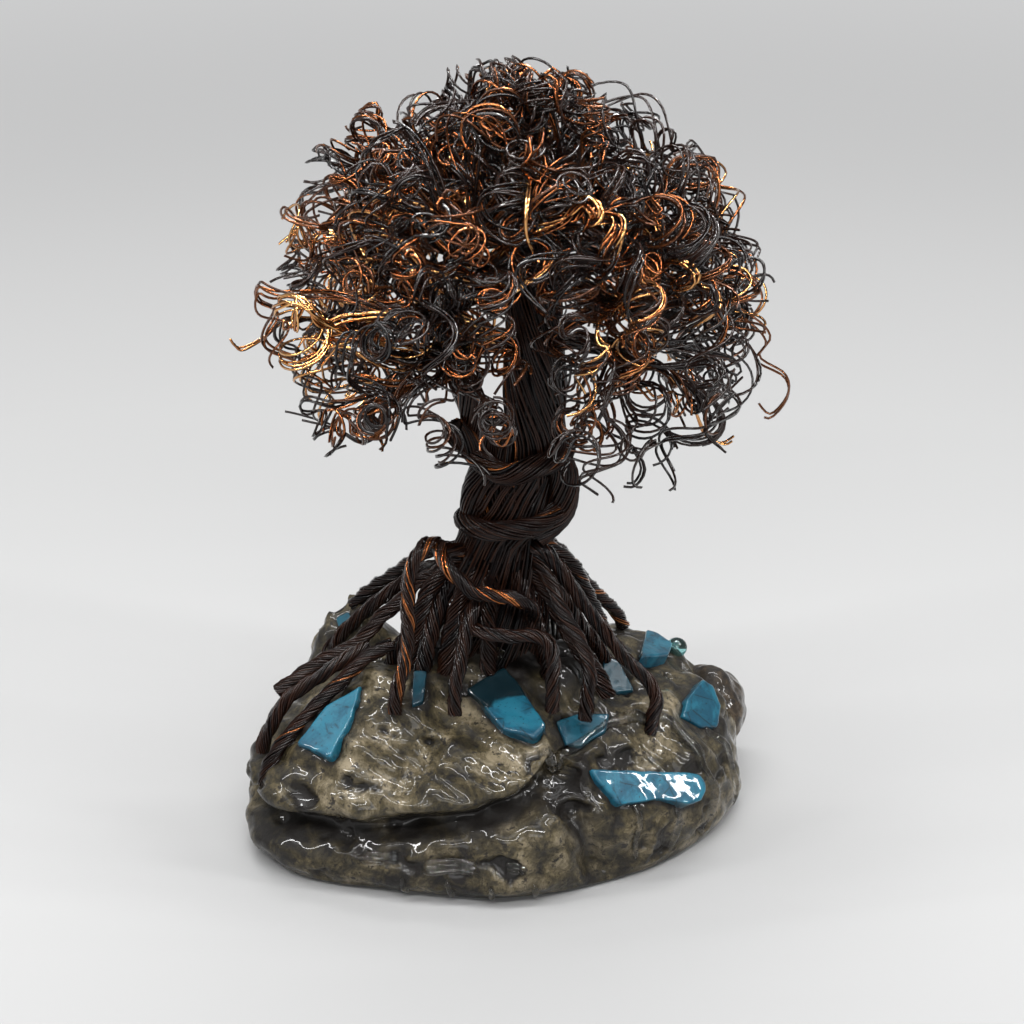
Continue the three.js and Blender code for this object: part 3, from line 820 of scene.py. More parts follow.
@dataclass
class StoneBase:
    """The rough stone that carries the tree: the solids' surface with its fine relief.

    Attributes:
        middle: the middle of its plan.
        radii: its outer radius every 30 degrees from +X.
        profile: shares of that radius and heights, from the middle of the underside to the top.
        lumps: rises and hollows of its upper side.
        roughness: the height of its broad lumps.
        groove_run: degrees round the stone and the groove's height there.
        crevice_run: heights and the crevice's degrees there.
        rounds: points round it.
        rings: rings of points from the underside to the top.
    """

    middle: tuple[float, float] = (-4.0, -1.0)
    radii: tuple[float, ...] = (76, 76, 66, 55, 57, 67, 77, 78.5, 61, 57, 58, 66)
    profile: Rows = (
        (0, 0), (0.5, 0), (0.9, 0), (0.985, 3.5), (1, 10), (0.99, 18), (0.95, 26),
        (0.86, 33.5), (0.72, 40), (0.55, 45.5), (0.37, 51), (0.18, 56.5), (0, 58),
    )
    lumps: tuple[Lump, ...] = (
        Lump(-53, 19, 25, 13), Lump(-42, -22, 9, 20), Lump(44, 30, 5, 22), Lump(2, 0, 4, 22),
        Lump(30, -30, -3, 12), Lump(-18, 40, 7, 13), Lump(14, 47, -5, 10),
    )
    roughness: float = 1.3
    groove_run: Rows = ((190, 230, 262, 284, 300), (16, 19, 25, 31, 38))
    crevice_run: Rows = ((0, 20, 36), (303, 296, 293))
    rounds: int = 400
    rings: int = 170

    def surface(self, theta: Array, rise: Array) -> Array:
        """Points of the solids' own surface.

        Args:
            theta: the angle round the stone.
            rise: 0 at the underside's middle and 1 on top.

        Returns:
            Points in millimetres.
        """
        outer = along(np.array(self.radii)[:, None], theta / TAU * len(self.radii), closed=True)[..., 0]
        found = along(np.array(self.profile), np.clip(rise, 0, 1) * (len(self.profile) - 1))
        share, z = found[..., 0], np.maximum(found[..., 1], 0)
        degrees = np.degrees(theta) % 360
        radius = share * outer

        groove = np.interp(degrees, *self.groove_run)
        grooved = smooth(186, 200, degrees) * (1 - smooth(288, 302, degrees))
        radius = radius - 9 * grooved * bell(z - groove, 4.2)
        radius = radius + 3.5 * grooved * bell(z - groove - 8.5, 5) + 1.5 * grooved * bell(z - 7, 5)
        crevice = np.radians(np.interp(z, *self.crevice_run))
        radius = radius - 6.5 * bell((theta - crevice) * 50, 4) * smooth(1, 8, z) * (1 - smooth(34, 42, z))
        knuckles = np.sin(5 * theta + 0.6) * np.sin(0.15 * z + 2 * theta) * smooth(0.2, 0.8, np.sin(theta))
        radius = radius + 3 * knuckles * smooth(1, 9, z) * share

        x = self.middle[0] + radius * np.cos(theta)
        y = self.middle[1] + radius * np.sin(theta)
        upper = smooth(14, 36, z)
        for lump in self.lumps:
            z = z + lump.rise * np.exp(-((x - lump.x) ** 2 + (y - lump.y) ** 2) / lump.spread**2) * upper
        rough = np.sin(0.21 * x + 1.3) * np.sin(0.19 * y + 0.4)
        rough = rough + 0.6 * np.sin(0.43 * x + 0.31 * y + 2) * np.sin(0.37 * z + 0.24 * y + 0.9)
        free = self.roughness * rough * smooth(1, 12, z)
        return np.stack([x + free * np.cos(theta), y + free * np.sin(theta), z + free * upper], axis=-1)

    def normals(self, theta: Array, rise: Array) -> Array:
        """Outward directions of the surface."""
        step = 0.004
        round_about = self.surface(theta + step, rise) - self.surface(theta - step, rise)
        upward = self.surface(theta, np.minimum(rise + step, 1)) - self.surface(theta, np.maximum(rise - step, 0))
        return unit(np.cross(round_about, upward))

    def relief(self, points: Array) -> tuple[Array, Array]:
        """The fine relief at points of the surface.

        Returns:
            How far each point moves out, and how deep it lies, from 0 to 1; the depth is painted dark, as shade in
            hollows and as the pits' own colour.
        """
        broad = Grain(3).layered(points, 17, 2)
        sharp = Grain(8).layered(points * [1, 1, 1.3], 6, 3)
        ridged = 0.35 - np.abs(Grain(21).layered(points, 12, 3))
        pits = smooth(0.2, 0.34, Grain(5).layered(points, 7, 2))
        height = 2.6 * broad + 0.8 * sharp + 1.2 * (ridged - 0.2) - 1.6 * pits
        # Low places get painted shade; pits get their own dark colour.
        depth = np.clip(smooth(0.5, 1.9, -height) * 0.7 + 0.8 * pits, 0, 1)
        return height, depth

    def shadow(self, points: Array) -> Array:
        """Painted shade: how dark the stone is made in its groove, in its crevice and under the roots, from 0 to 1."""
        away = points - [self.middle[0], self.middle[1], 0]
        theta = np.arctan2(away[..., 1], away[..., 0]) % TAU
        degrees = np.degrees(theta)
        patchy = 0.8 + 1.2 * Grain(41).layered(points, 9, 3)
        groove = np.interp(degrees, *self.groove_run)
        x, y, z = points[..., 0], points[..., 1], points[..., 2]
        in_groove = smooth(188, 204, degrees) * (1 - smooth(290, 304, degrees)) * bell(z - groove + 1.0, 4.4)
        crevice = np.radians(np.interp(z, *self.crevice_run))
        in_crevice = bell((theta - crevice) * 60, 4.6) * (1 - smooth(38, 46, z))
        # Painted shadow of the roots on the stone beneath them.
        roots = np.hypot((x + 3) / 31, (y + 3) / 24)
        under_roots = (1 - smooth(0.7, 1.1, roots)) * smooth(36, 44, z)
        return np.clip(np.maximum(np.maximum(in_groove, in_crevice), under_roots) * patchy * 1.25, 0, 1)

    def build(self, finish: bpy.types.Material, chunks: Iterable["Chunk"]) -> bpy.types.Object:
        """Builds the dressed stone, worn down where chunks are set into it."""
        first = 2 / (len(self.profile) - 1)
        rise = np.concatenate([[first], first + (0.985 - first) * np.linspace(0.004, 1, self.rings - 1) ** 0.92])
        theta = np.arange(self.rounds) / self.rounds * TAU
        angle, level = np.meshgrid(theta, rise)
        points = self.surface(angle, level)
        out = self.normals(angle, level)
        height, depth = self.relief(points)
        free = smooth(0.3, 6, points[..., 2])
        points = points + out * (height * free)[..., None]
        for chunk in chunks:
            points, seam = chunk.pressed(points)
            depth = np.maximum(depth, seam)
        points[..., 2] = np.maximum(points[..., 2], 0)
        # Painted shade from the hollows, groove, crevice and roots joins the dark of the pits and chunk seams in one
        # attribute.
        pits_and_painted_shade = np.clip(np.maximum(depth, self.shadow(points)) * free, 0, 1)
        rim = points[0].mean(axis=0)
        everything = np.concatenate([[[rim[0], rim[1], 0]], points.reshape(-1, 3), [points[-1].mean(axis=0)]])
        values = np.concatenate([[0], pits_and_painted_shade.ravel(), [0]])
        made = surface_mesh("stone_base_fine", everything, closed_grid(len(rise), self.rounds), {"pits_and_painted_shade": values})
        return settle(place("stone_base_fine", made, finish), Slot.STONE, "stone_base")


@dataclass(frozen=True)
class Chunk:
    """One chunk of turquoise.

    Attributes:
        name: the solid that it stands for.
        middle: the middle of its face.
        facing: the direction of its face.
        outline: its outline about the middle, across and up.
        thick: its thickness.
        dark: how dark it is, from 0 to 1.
        facet: where on its face a dark facet starts, as a height and a softness, or None.
    """

    name: str
    middle: tuple[float, float, float]
    facing: tuple[float, float, float]
    outline: Rows
    thick: float
    dark: float = 0.0
    facet: tuple[float, float] | None = None

    def pressed(self, points: Array) -> tuple[Array, Array]:
        """Wears the stone down to just under the chunk's face.

        Args:
            points: places on the stone.

        Returns:
            The places, moved where the chunk lies, and how dark its seam makes them, from 0 to 1.
        """
        frame = turned(np.eye(3), (0, 0, 0), self.facing)
        local = (points - np.array(self.middle)) @ frame.T
        outline = np.array(self.outline, float)
        away = edge_distance(outline, local[..., :2])
        near = (np.abs(local[..., 2]) < 9) & (away < 6)
        level = 0.1 + 0.45 * np.maximum(away, 0) - 0.7 * smooth(1.0, -1.0, away)
        lowered = np.where(near, np.minimum(local[..., 2], level), local[..., 2])
        seam = np.where(near, bell(away - 0.2, 1.0), 0.0)
        local = np.concatenate([local[..., :2], lowered[..., None]], axis=-1)
        return np.array(self.middle) + local @ frame, seam


@dataclass
class ChunkSet:
    """The turquoise chunks, each a rough slab with worn edges.

    Attributes:
        proud: how far a face stands out of the stone.
        spacing: the distance between corners of the fine mesh.
        chunks: the chunks.
    """

    proud: float = 1.0
    spacing: float = 0.55
    chunks: tuple[Chunk, ...] = (
        Chunk("turquoise_left_blade", (-52.9, -30.1, 45.1), (-0.3, -0.45, 0.84),
              ((1.4, 14.3), (-5.7, 3.9), (-7.7, -10.2), (5.3, -11.1), (4.6, 3.7)), 6, 0.05),
        Chunk("turquoise_sliver", (-27.8, -25.9, 54.6), (-0.05, -0.5, 0.86),
              ((-2.1, 6.1), (-1.3, -6.6), (2, -4.4), (1.8, 6)), 4, 0.7),
        Chunk("turquoise_centre_front", (-1.1, -28.7, 50.1), (-0.03, -0.45, 0.89),
              ((-13.1, 5.5), (-7.9, 0), (-1.1, -8.2), (8.2, -10.9), (11.5, -6.2), (2.4, 8.3), (-1.9, 13.9)),
              6, 0.1, (1.0, 0.4)),
        Chunk("turquoise_front_wedge", (21.2, -28, 41.4), (0.12, -0.5, 0.86),
              ((-7.4, 4.1), (-6.3, -5.3), (-2.1, -5.5), (7, -1.3), (9.6, 4.6), (0.2, 5.9)), 5, 0.45),
        Chunk("turquoise_long_bar", (43.4, -38.2, 26.8), (0.42, -0.62, 0.66),
              ((-19, 12.8), (-17.3, 5.7), (-14.1, -0.1), (-1.5, -2.3), (8.6, -7.2), (14.4, -7.1), (17, -3.4),
               (15.8, 0.5)), 7, 0.0),
        Chunk("turquoise_right_face", (58.8, -3.5, 35.6), (0.6, -0.42, 0.68),
              ((7.8, 6.7), (-5.7, 4.3), (-10.9, 1.7), (-6, -4.8), (0.4, -8.4), (7.7, -3.5), (10.1, 2.6)), 6, 0.25),
        Chunk("turquoise_back_right", (45.9, 17.2, 45.8), (0.35, 0.05, 0.93),
              ((9.4, 1.8), (-13, 8.6), (-5.1, -2.8), (4.1, -6.2), (9.4, -2.1)), 5, 0.2),
        Chunk("turquoise_under_roots", (31.6, -5.2, 46.5), (0.2, -0.4, 0.9),
              ((0.3, 9), (-5.3, -0.5), (-1.6, -5.8), (3.8, -6.2), (4, 5.6)), 4, 0.75),
        Chunk("turquoise_back_lump", (-52, 12, 57.4), (-0.35, -0.14, 0.93),
              ((-3, 2.5), (-3.5, -2), (2, -3), (3.5, 1.5)), 4, 0.6),
    )

    def build(self, finish: bpy.types.Material) -> Iterator[bpy.types.Object]:
        """Builds every chunk."""
        for number, chunk in enumerate(self.chunks):
            yield self.slab(chunk, number, finish)

    def slab(self, chunk: Chunk, number: int, finish: bpy.types.Material) -> bpy.types.Object:
        """One chunk: rings of its outline, from the middle of its face over the worn edge to its back."""
        outline = self.worn(np.array(chunk.outline, float), number)
        rounds = len(outline)
        shares = np.concatenate([np.linspace(0.06, 0.9, 15), [0.95, 0.98, 1.0, 1.0, 1.0, 0.99]])
        drops = np.concatenate([np.zeros(15), [0.08, 0.3, 0.75, 1.6, chunk.thick - 0.7, chunk.thick]])
        rings = np.concatenate([
            np.column_stack([outline * share, np.full(rounds, self.proud - drop)])
            for share, drop in zip(shares, drops)
        ])
        everything = np.concatenate([[[0, 0, self.proud]], rings, [[0, 0, self.proud - chunk.thick]]])
        ledges = smooth(0.1, 0.3, np.abs(Grain(77).layered(everything, 9, 2)))
        relief = 0.9 * Grain(31 + number).layered(everything, 5.0, 3) - 0.5 * ledges
        everything[:, 2] += 0.15 * relief * (everything[:, 2] > self.proud - 1.2)
        shade = np.full(len(everything), chunk.dark)
        if chunk.facet:
            height, softness = chunk.facet
            slant = everything[:, 1] - 0.2 * everything[:, 0] + 3 * relief
            shade = np.maximum(shade, smooth(height - softness, height + softness, slant))
        faces = closed_grid(len(shares), rounds)[:, ::-1]
        name = chunk.name + "_fine"
        made = surface_mesh(name, turned(everything, chunk.middle, chunk.facing), faces, {"shade": shade})
        return settle(place(name, made, finish), Slot.TURQUOISE, chunk.name)

    def worn(self, outline: Array, number: int) -> Array:
        """The outline with corners eased and edges made uneven, as evenly spaced points."""
        closed = np.concatenate([outline, outline[:1]])
        lengths = np.linalg.norm(np.diff(closed, axis=0), axis=1)
        marks = np.concatenate([[0], np.cumsum(lengths)])
        count = max(40, int(marks[-1] / self.spacing))
        where = np.arange(count) / count * marks[-1]
        points = np.column_stack([np.interp(where, marks, closed[:, axis]) for axis in (0, 1)])
        for _ in range(2):
            points = 0.5 * points + 0.25 * (np.roll(points, 1, axis=0) + np.roll(points, -1, axis=0))
        chips = Grain(50 + number).layered(np.column_stack([points, np.zeros(count)]), 3.0, 2)
        return points * (1 + 0.09 * np.minimum(chips, 0.25))[:, None]


@dataclass
class SideStone:
    """The dark second stone behind the right edge."""

    middle: tuple[float, float, float] = (64.0, 25.0, 17.8)
    half: tuple[float, float, float] = (12.5, 15.0, 16.5)
    rounds: int = 110
    rings: int = 60

    def build(self, finish: bpy.types.Material) -> bpy.types.Object:
        """Builds the stone as a lumpy ball."""
        sphere = ball(self.rings, self.rounds)
        lump = 1 + 0.06 * np.sin(5 * sphere[:, 0] + 1) * np.sin(4 * sphere[:, 1] + 2)
        lump = lump + 0.05 * np.sin(6 * sphere[:, 2])
        points = np.array(self.middle) + sphere * lump[:, None] * np.array(self.half)
        height = 1.8 * Grain(14).layered(points, 8, 3) - 0.6
        points = points + sphere * height[:, None]
        points[:, 2] = np.maximum(points[:, 2], 0.4)
        # Painted shade: the low places of the relief are darkened in colour.
        depth = smooth(0.5, 1.6, -height)
        made = surface_mesh("side_stone_fine", points, closed_grid(self.rings, self.rounds), {"pits_and_painted_shade": depth})
        return settle(place("side_stone_fine", made, finish), Slot.DARK_STONE, "side_stone")


@dataclass
class ClearBead:
    """The clear bead on the right shoulder of the stone."""

    middle: tuple[float, float, float] = (52.8, 24.3, 41.6)
    radius: float = 3.4
    flatness: float = 0.92
    rounds: int = 40
    rings: int = 22

    def build(self, finish: bpy.types.Material) -> bpy.types.Object:
        """Builds the bead as a smooth ball, a little flattened."""
        points = np.array(self.middle) + ball(self.rings, self.rounds) * [1, 1, self.flatness] * self.radius
        made = surface_mesh("clear_bead_fine", points, closed_grid(self.rings, self.rounds))
        return settle(place("clear_bead_fine", made, finish), Slot.RESIN, "clear_bead")


@dataclass(frozen=True)
class Pool:
    """A pool of clear resin: where it lies on the stone, and its half length, half height and lift."""

    degrees: float
    height: float
    half: tuple[float, float, float]


@dataclass
class ResinCoat:
    """Clear resin that stands on the stone: a ridge that forks, pools, and drips down the right edge.

    Attributes:
        middle: the plan middle that angles are told from.
        ridges: runs over the top of the stone, as x, y and radius.
        drips: runs down its sides, as degrees, height and radius.
        pools: the pools.
        sunk: the share of a run's thickness that lies in the stone.
        reach: how far the stone's side usually is from its middle.
        sides: how many sides the resin's section has.
        detail: places along a run for each of its rows.
    """

    middle: tuple[float, float] = (-4.0, -1.0)
    ridges: tuple[Rows, ...] = (
        ((42, -19, 1.5), (38, -20.5, 2.2), (32.5, -22.5, 1.9), (27.5, -25.5, 1.7), (22, -30, 1.8), (17.5, -34.5, 2.0),
         (12.5, -38.5, 1.7), (8, -42, 1.1)),
        ((40, -19, 1.2), (45, -18, 1.6), (50, -19, 1.5), (55, -21, 1.2), (59, -23, 0.7)),
    )
    drips: tuple[Rows, ...] = (
        ((342, 41, 1.0), (341, 34, 1.6), (339, 26, 1.3), (340, 18, 1.7), (338, 9, 1.2), (337, 3, 0.8)),
        ((328, 36, 0.8), (327, 28, 1.3), (327, 20, 1.1), (326, 12, 1.5), (325, 4, 0.9)),
        ((352, 34, 0.9), (353, 26, 1.5), (352, 17, 1.2), (353, 8, 1.4), (354, 2.5, 0.9)),
        ((313, 30, 0.7), (314, 22, 1.1), (313, 14, 0.9), (313, 7, 1.2)),
        ((255, 9, 0.7), (256, 4.5, 1.2), (256, 2, 1.0)), ((268, 8, 0.7), (268, 4, 1.1), (268, 1.8, 0.9)),
        ((243, 9, 0.6), (243, 4, 1.0), (243, 1.8, 0.9)), ((280, 8, 0.8), (281, 4, 1.2), (281, 1.9, 1.0)),
    )
    pools: tuple[Pool, ...] = (
        Pool(256, 12.5, (8.5, 3.0, 1.3)), Pool(236, 13, (4.6, 2.2, 1.0)), Pool(275, 12.5, (3.2, 2.4, 1.2)),
    )
    sunk: float = 0.45
    reach: float = 60.0
    sides: int = 14
    detail: int = 6

    def build(self, stone: bpy.types.Object, sweep: WireSweep, finish: bpy.types.Material) -> bpy.types.Object:
        """Builds all of it as one piece that lies on the stone."""
        skin = BVHTree.FromObject(stone, bpy.context.evaluated_depsgraph_get())
        runs = Strands()
        for rows in self.ridges:
            self.lay(runs, skin, rows, self.from_above)
        for rows in self.drips:
            self.lay(runs, skin, rows, self.from_side)
        for pool in self.pools:
            length, height, lift = pool.half
            half_angle = math.degrees(length / self.reach)
            rows = [
                (pool.degrees + half_angle * place, pool.height, max(lift * math.sqrt(1 - place * place), 0.15))
                for place in np.linspace(-0.99, 0.99, 9)
            ]
            for level in (-0.5, 0.0, 0.5):
                thinner = 1 - 0.25 * abs(level)
                shifted = [(angle, z + level * height, size * thinner) for angle, z, size in rows]
                self.lay(runs, skin, shifted, self.from_side)
        return settle(sweep.make("stone_resin", runs, 1.0, self.sides, finish), Slot.RESIN, "stone_base")

    def lay(
        self, runs: Strands, skin: BVHTree, rows: Rows, cast: Callable[[BVHTree, float, float], tuple[Array, Array]]
    ) -> None:
        """Lays one run on the stone and closes both of its ends to a tip.

        Args:
            runs: where it goes.
            skin: the stone's surface.
            rows: two numbers that say where each place is, and the run's radius there.
            cast: finds the stone's place and outward direction from those two numbers.
        """
        rows = np.array(rows, float)
        fine = along(rows, np.linspace(0, len(rows) - 1, self.detail * len(rows)))
        sizes = fine[:, 2]
        found = [cast(skin, first, second) for first, second in fine[:, :2]]
        points = np.array([place + out * (1 - 2 * self.sunk) * size for (place, out), size in zip(found, sizes)])
        for _ in range(2):
            points[1:-1] = 0.5 * points[1:-1] + 0.25 * (points[2:] + points[:-2])
        step = np.arange(len(sizes))
        tip = smooth(0, 3, step) * smooth(0, 3, step[::-1])
        runs.add(points, 0.0, np.maximum(sizes * tip, 0.05))

    @staticmethod
    def from_above(skin: BVHTree, x: float, y: float) -> tuple[Array, Array]:
        """The stone's place and outward direction under x and y."""
        place, out, _, _ = skin.ray_cast(Vector((x, y, 200.0)) * MM, Vector((0, 0, -1)))
        return np.array(place) / MM, np.array(out)

    def from_side(self, skin: BVHTree, degrees: float, height: float) -> tuple[Array, Array]:
        """The stone's place and outward direction at an angle and a height."""
        way = np.array([math.cos(math.radians(degrees)), math.sin(math.radians(degrees)), 0])
        eye = np.array([*self.middle, height]) + 200 * way
        place, out, _, _ = skin.ray_cast(Vector(eye * MM), Vector(-way))
        return np.array(place) / MM, np.array(out)


# ---------------------------------------------------------------- trunk and roots


@dataclass(frozen=True)
class Bundle:
    """A bundle of twisted wire along a run.

    Attributes:
        rows: x, y, z and radius of the bundle along its run.
        wires: how many wires show round it.
        turn: the length in which the wires go once round; negative turns the other way.
        copper: the share of bright copper wires.
        lobes: thick strands that the wires lie in.
        depth: how deep the valleys between those strands are, as a share of the radius.
        step: the distance between places along a wire.
    """

    rows: Rows
    wires: int
    turn: float
    copper: float = 0.1
    lobes: int = 0
    depth: float = 0.0
    step: float = 2.4

    def strands(self, into: Strands, seed: int, wire: float) -> None:
        """Adds the bundle's wires.

        Args:
            into: where they go.
            seed: the bundle's number, for its small differences.
            wire: the wire's radius.
        """
        path = Path.through(self.rows, self.step)
        twist = path.travelled / self.turn * TAU
        for k in range(self.wires):
            number = seed * 200 + k
            angle = TAU * (k + between(-0.18, 0.18, number, 1)) / self.wires
            drifting = np.sin(path.travelled * between(0.05, 0.13, number, 3) + TAU * chance(number, 4))
            sway = between(0.01, 0.07, number, 2) * drifting
            valley = self.depth * (0.5 - 0.5 * np.cos(self.lobes * (angle + sway)))
            rising = np.sin(path.travelled * 0.21 + TAU * chance(number, 6))
            lift = between(-0.35, 0.3, number, 5) * wire + 0.25 * wire * rising
            reach = np.maximum(path.radii * (1 - valley) - wire + lift, 0.3)
            into.add(path.around(angle + sway + twist, reach), self.tone(number))

    def filling(self, into: Strands, wire: float) -> None:
        """Adds the dark middle of the bundle, just under the wires that show."""
        path = Path.through(self.rows, self.step)
        inner = np.maximum(path.radii * (1 - self.depth) - 1.4 * wire, 0.5)
        into.add(path.points, 0.0, inner / wire)

    def tone(self, number: int) -> float:
        """The tone of one wire."""
        if chance(number, 7) < self.copper:
            return float(between(0.45, 0.72, number, 8))
        return float(between(0.0, 0.26, number, 9))


@dataclass
class Trunk:
    """The trunk: a thick twisted column, the body below it, wraps round it, and a cut left branch.

    Attributes:
        wire: the wire's radius.
        bundles: the bundles by name.
    """

    wire: float = 0.4
    bundles: dict[str, Bundle] = field(default_factory=lambda: {
        "column": Bundle(
            ((-0.5, 0, 103, 11.4), (0.5, 0, 111, 11.6), (4, 0, 119, 10.8), (6.6, 0, 127, 9.9), (6.7, 0, 140, 9.6),
             (6.5, 0, 157, 9), (6.2, 0.5, 176, 7.8), (6, 1, 195, 6), (6, 2, 211, 4)),
            66, -150, 0.03, 6, 0.12),
        "body": Bundle(
            ((-3.6, 0, 90, 13.4), (-3, 0, 95, 12.6), (-0.5, 0, 103, 13.6), (0.5, 0, 111, 13), (3, 0, 118, 11)),
            86, 210, 0.02, 5, 0.1),
        "root_crown": Bundle(
            ((-7, 5, 46, 22), (-6, 3.5, 62, 20.5), (-5, 1, 76, 18.5), (-4, 0, 87, 15), (-3, 0, 97, 12.4)),
            108, 330, 0.0, 9, 0.16, 3.0),
        "left_branch": Bundle(
            ((-5, 0, 112, 6), (-9, -2, 124, 5.2), (-11.5, -3, 136, 4.8), (-16, -4, 150, 4.4), (-20, -5, 162, 4),
             (-27, -6, 177, 3)), 34, 60, 0.05, 3, 0.12),
        "cut_stub": Bundle(((-8, -3, 119, 4.5), (-13, -6, 126, 4.3), (-17, -8.5, 131.5, 4)), 30, 60, 0.1, 3, 0.08),
        "upper_band": Bundle(
            ((-12.9, -3, 125, 3.6), (-8, -10, 121, 3.7), (-2.3, -12.6, 119, 3.7), (5.2, -12.6, 120.5, 3.7),
             (12.4, -9, 122, 3.6), (15.6, -2, 123, 3.4), (12, 6, 125, 3.2), (4, 9.5, 127, 3)),
            24, -44, 0.16, 3, 0.12, 2.0),
        "right_fold": Bundle(
            ((10, -6, 123, 4), (14.6, -6, 118, 4.7), (15.4, -6, 110, 4.9), (13.8, -7, 103, 4.6), (7, -9, 97, 4)),
            30, 70, 0.04, 3, 0.12),
        "left_side": Bundle(
            ((-8, -6, 121, 3.6), (-11, -5, 112, 3.9), (-11.5, -5, 104, 3.9), (-11, -5, 96, 3.8)),
            24, 60, 0.04, 3, 0.12),
        "lower_band": Bundle(
            ((-14, 2, 99, 3), (-14.5, -5, 100.4, 3.2), (-10, -11.5, 100.8, 3.3), (-2, -14.2, 101.3, 3.3),
             (8, -12.4, 102.6, 3.3), (14.2, -7, 106, 3.2), (13.5, 2, 107, 3)), 22, 40, 0.05, 3, 0.12, 2.0),
    })

    def build(self, sweep: WireSweep, finish: bpy.types.Material) -> bpy.types.Object:
        """Builds the trunk as one piece."""
        wires = Strands()
        for seed, bundle in enumerate(self.bundles.values()):
            bundle.strands(wires, seed, self.wire)
            bundle.filling(wires, self.wire)
        piece = sweep.make("trunk_wires", wires, self.wire, WIRE_SIDES, finish)
        return settle(piece, Slot.DARK_WIRE, "trunk_and_roots")


@dataclass(frozen=True)
class Root:
    """The run of one root, the share of its wires that are copper, and its radius."""

    rows: Rows
    copper: float = 0.02
    radius: float = 2.45


@dataclass
class Roots:
    """The roots: ropes of twisted wire that run down and grip the stone.

    Attributes:
        wire: the wire's radius.
        wires: how many wires show round a rope.
        turn: the length in which a rope's wires go once round.
        runs: the roots by name.
    """

    wire: float = 0.4
    wires: int = 15
    turn: float = 22.0
    runs: dict[str, Root] = field(default_factory=lambda: {
        "front_left": Root((
            (-12, -5, 90), (-19.7, -8, 92.7), (-24.2, -12, 96.5), (-27.7, -16, 94.6), (-30.3, -19, 88.5),
            (-30.7, -22, 80.5), (-30.6, -25, 72.4), (-31.6, -28, 64.6), (-34.2, -31, 56), (-34.8, -32, 50)), 0.5),
        "front_cross": Root((
            (-22, -11, 95), (-19.7, -17, 92), (-16.5, -19.5, 89), (-11.8, -21, 84.8), (-5, -21.5, 83.6),
            (0.6, -21.5, 82.6), (5.3, -19, 78.5), (7, -14, 72)), 0.3),
        "front_centre": Root((
            (-9, -14, 80), (-11.8, -20, 77.4), (-14.2, -25, 70.1), (-15, -28, 65.8), (-16.6, -31, 59), (-17, -33, 50))),
        "lying_loop": Root((
            (-14, -17, 74), (-11.8, -22.5, 73.2), (-2.4, -25.5, 72.3), (8, -24.5, 71.6), (11.8, -26.5, 67.5),
            (12, -29.5, 60), (12, -31, 50))),
        "front_right": Root((
            (6, -7, 90), (11.9, -14.5, 83.2), (14.8, -18.5, 76.9), (19.9, -22, 69), (23, -25, 61.5), (22.6, -28, 54),
            (22, -29, 46))),
        "long_right": Root((
            (4, -6, 93), (9.6, -10, 93), (14.9, -11, 86.2), (20.7, -12, 77.3), (28.3, -13, 66.4), (34.7, -14.6, 58.2),
            (40.6, -16, 52.6), (43.6, -18.6, 47.4), (42.6, -21, 41.5), (41.5, -22, 37))),
        "right_back": Root(((6, -2, 91), (12.4, -1, 89), (18.6, 3, 81.8), (22.4, 8, 72), (27, 15, 58.5), (30, 20, 48))),
        "back_left_high": Root((
            (-13, 2, 88), (-24.2, 3, 87), (-30.7, 6, 81.3), (-37.4, 10.5, 74.1), (-44.5, 15, 67), (-50, 18, 60))),
        "back_left_low": Root((
            (-13, 0, 83), (-25.3, -0.6, 82.6), (-35, 1.4, 75), (-44, 4.4, 66), (-52, 6, 57), (-58, 8, 48))),
        "left_long": Root((
            (-14, -4, 82), (-26.2, -6, 82), (-33.9, -6.5, 74.2), (-40, -7, 68.6), (-46.5, -9, 61.6),
            (-56.5, -11, 56.6), (-63.6, -13, 52.6), (-71.4, -15, 47.6))),
        "left_middle": Root((
            (-44, -9, 61), (-50.6, -13, 57.8), (-60.6, -16, 51.6), (-67.9, -18, 47), (-71.6, -20, 41.5),
            (-75.2, -22, 34.6), (-76, -22.6, 31))),
        "left_low": Root((
            (-36, -13, 63), (-44.4, -15.5, 59.2), (-51.2, -19, 53.6), (-57.6, -22, 48.4), (-64.6, -25.6, 41.8),
            (-70.4, -28.4, 35.4), (-74, -30.4, 28.5), (-74.4, -30.6, 25))),
        "inner_left": Root(((-14, -2, 86), (-20, -7, 78), (-24, -12, 68), (-27, -17, 56), (-28, -19, 48)), 0, 3.0),
        "inner_left_high": Root(((-14, -3, 88), (-21, -6, 84), (-26, -9, 76), (-29, -11, 64), (-30, -12, 50)), 0, 3.0),
        "inner_far_left": Root(((-13, 0, 86), (-20, 0, 78), (-27, -2, 68), (-34, -5, 58), (-38, -7, 50)), 0, 3.0),
        "inner_front_left": Root(((-12, -8, 86), (-16, -13, 76), (-19, -15.5, 64), (-21, -17, 50)), 0, 3.0),
        "inner_front": Root(((-6, -10, 86), (-7, -15, 76), (-7, -16.5, 64), (-7, -17, 50)), 0, 3.0),
        "inner_front_right": Root(((1, -10, 86), (5, -13, 76), (9, -15, 64), (12, -16, 50)), 0, 3.0),
        "inner_right": Root(((5, -6, 86), (12, -9, 76), (19, -12, 63), (26, -14, 53), (29, -15, 46)), 0, 3.0),
        "inner_far_right": Root(((6, -2, 86), (14, -4, 76), (20, -3, 65), (26, 0, 55), (30, 2, 47)), 0, 3.0),
        "back_middle": Root(((2, 4, 92), (3, 14, 85), (7, 25, 70), (10, 35, 55.5), (11, 40, 47))),
        "back_far_left": Root(((-8, 4, 91), (-12, 13, 84), (-19, 24, 69), (-27, 33, 54), (-30, 37, 46))),
        "back_right": Root(((8, 3, 91), (15, 10, 83), (24, 19, 67), (33, 29, 52.5), (36, 33, 45))),
    })

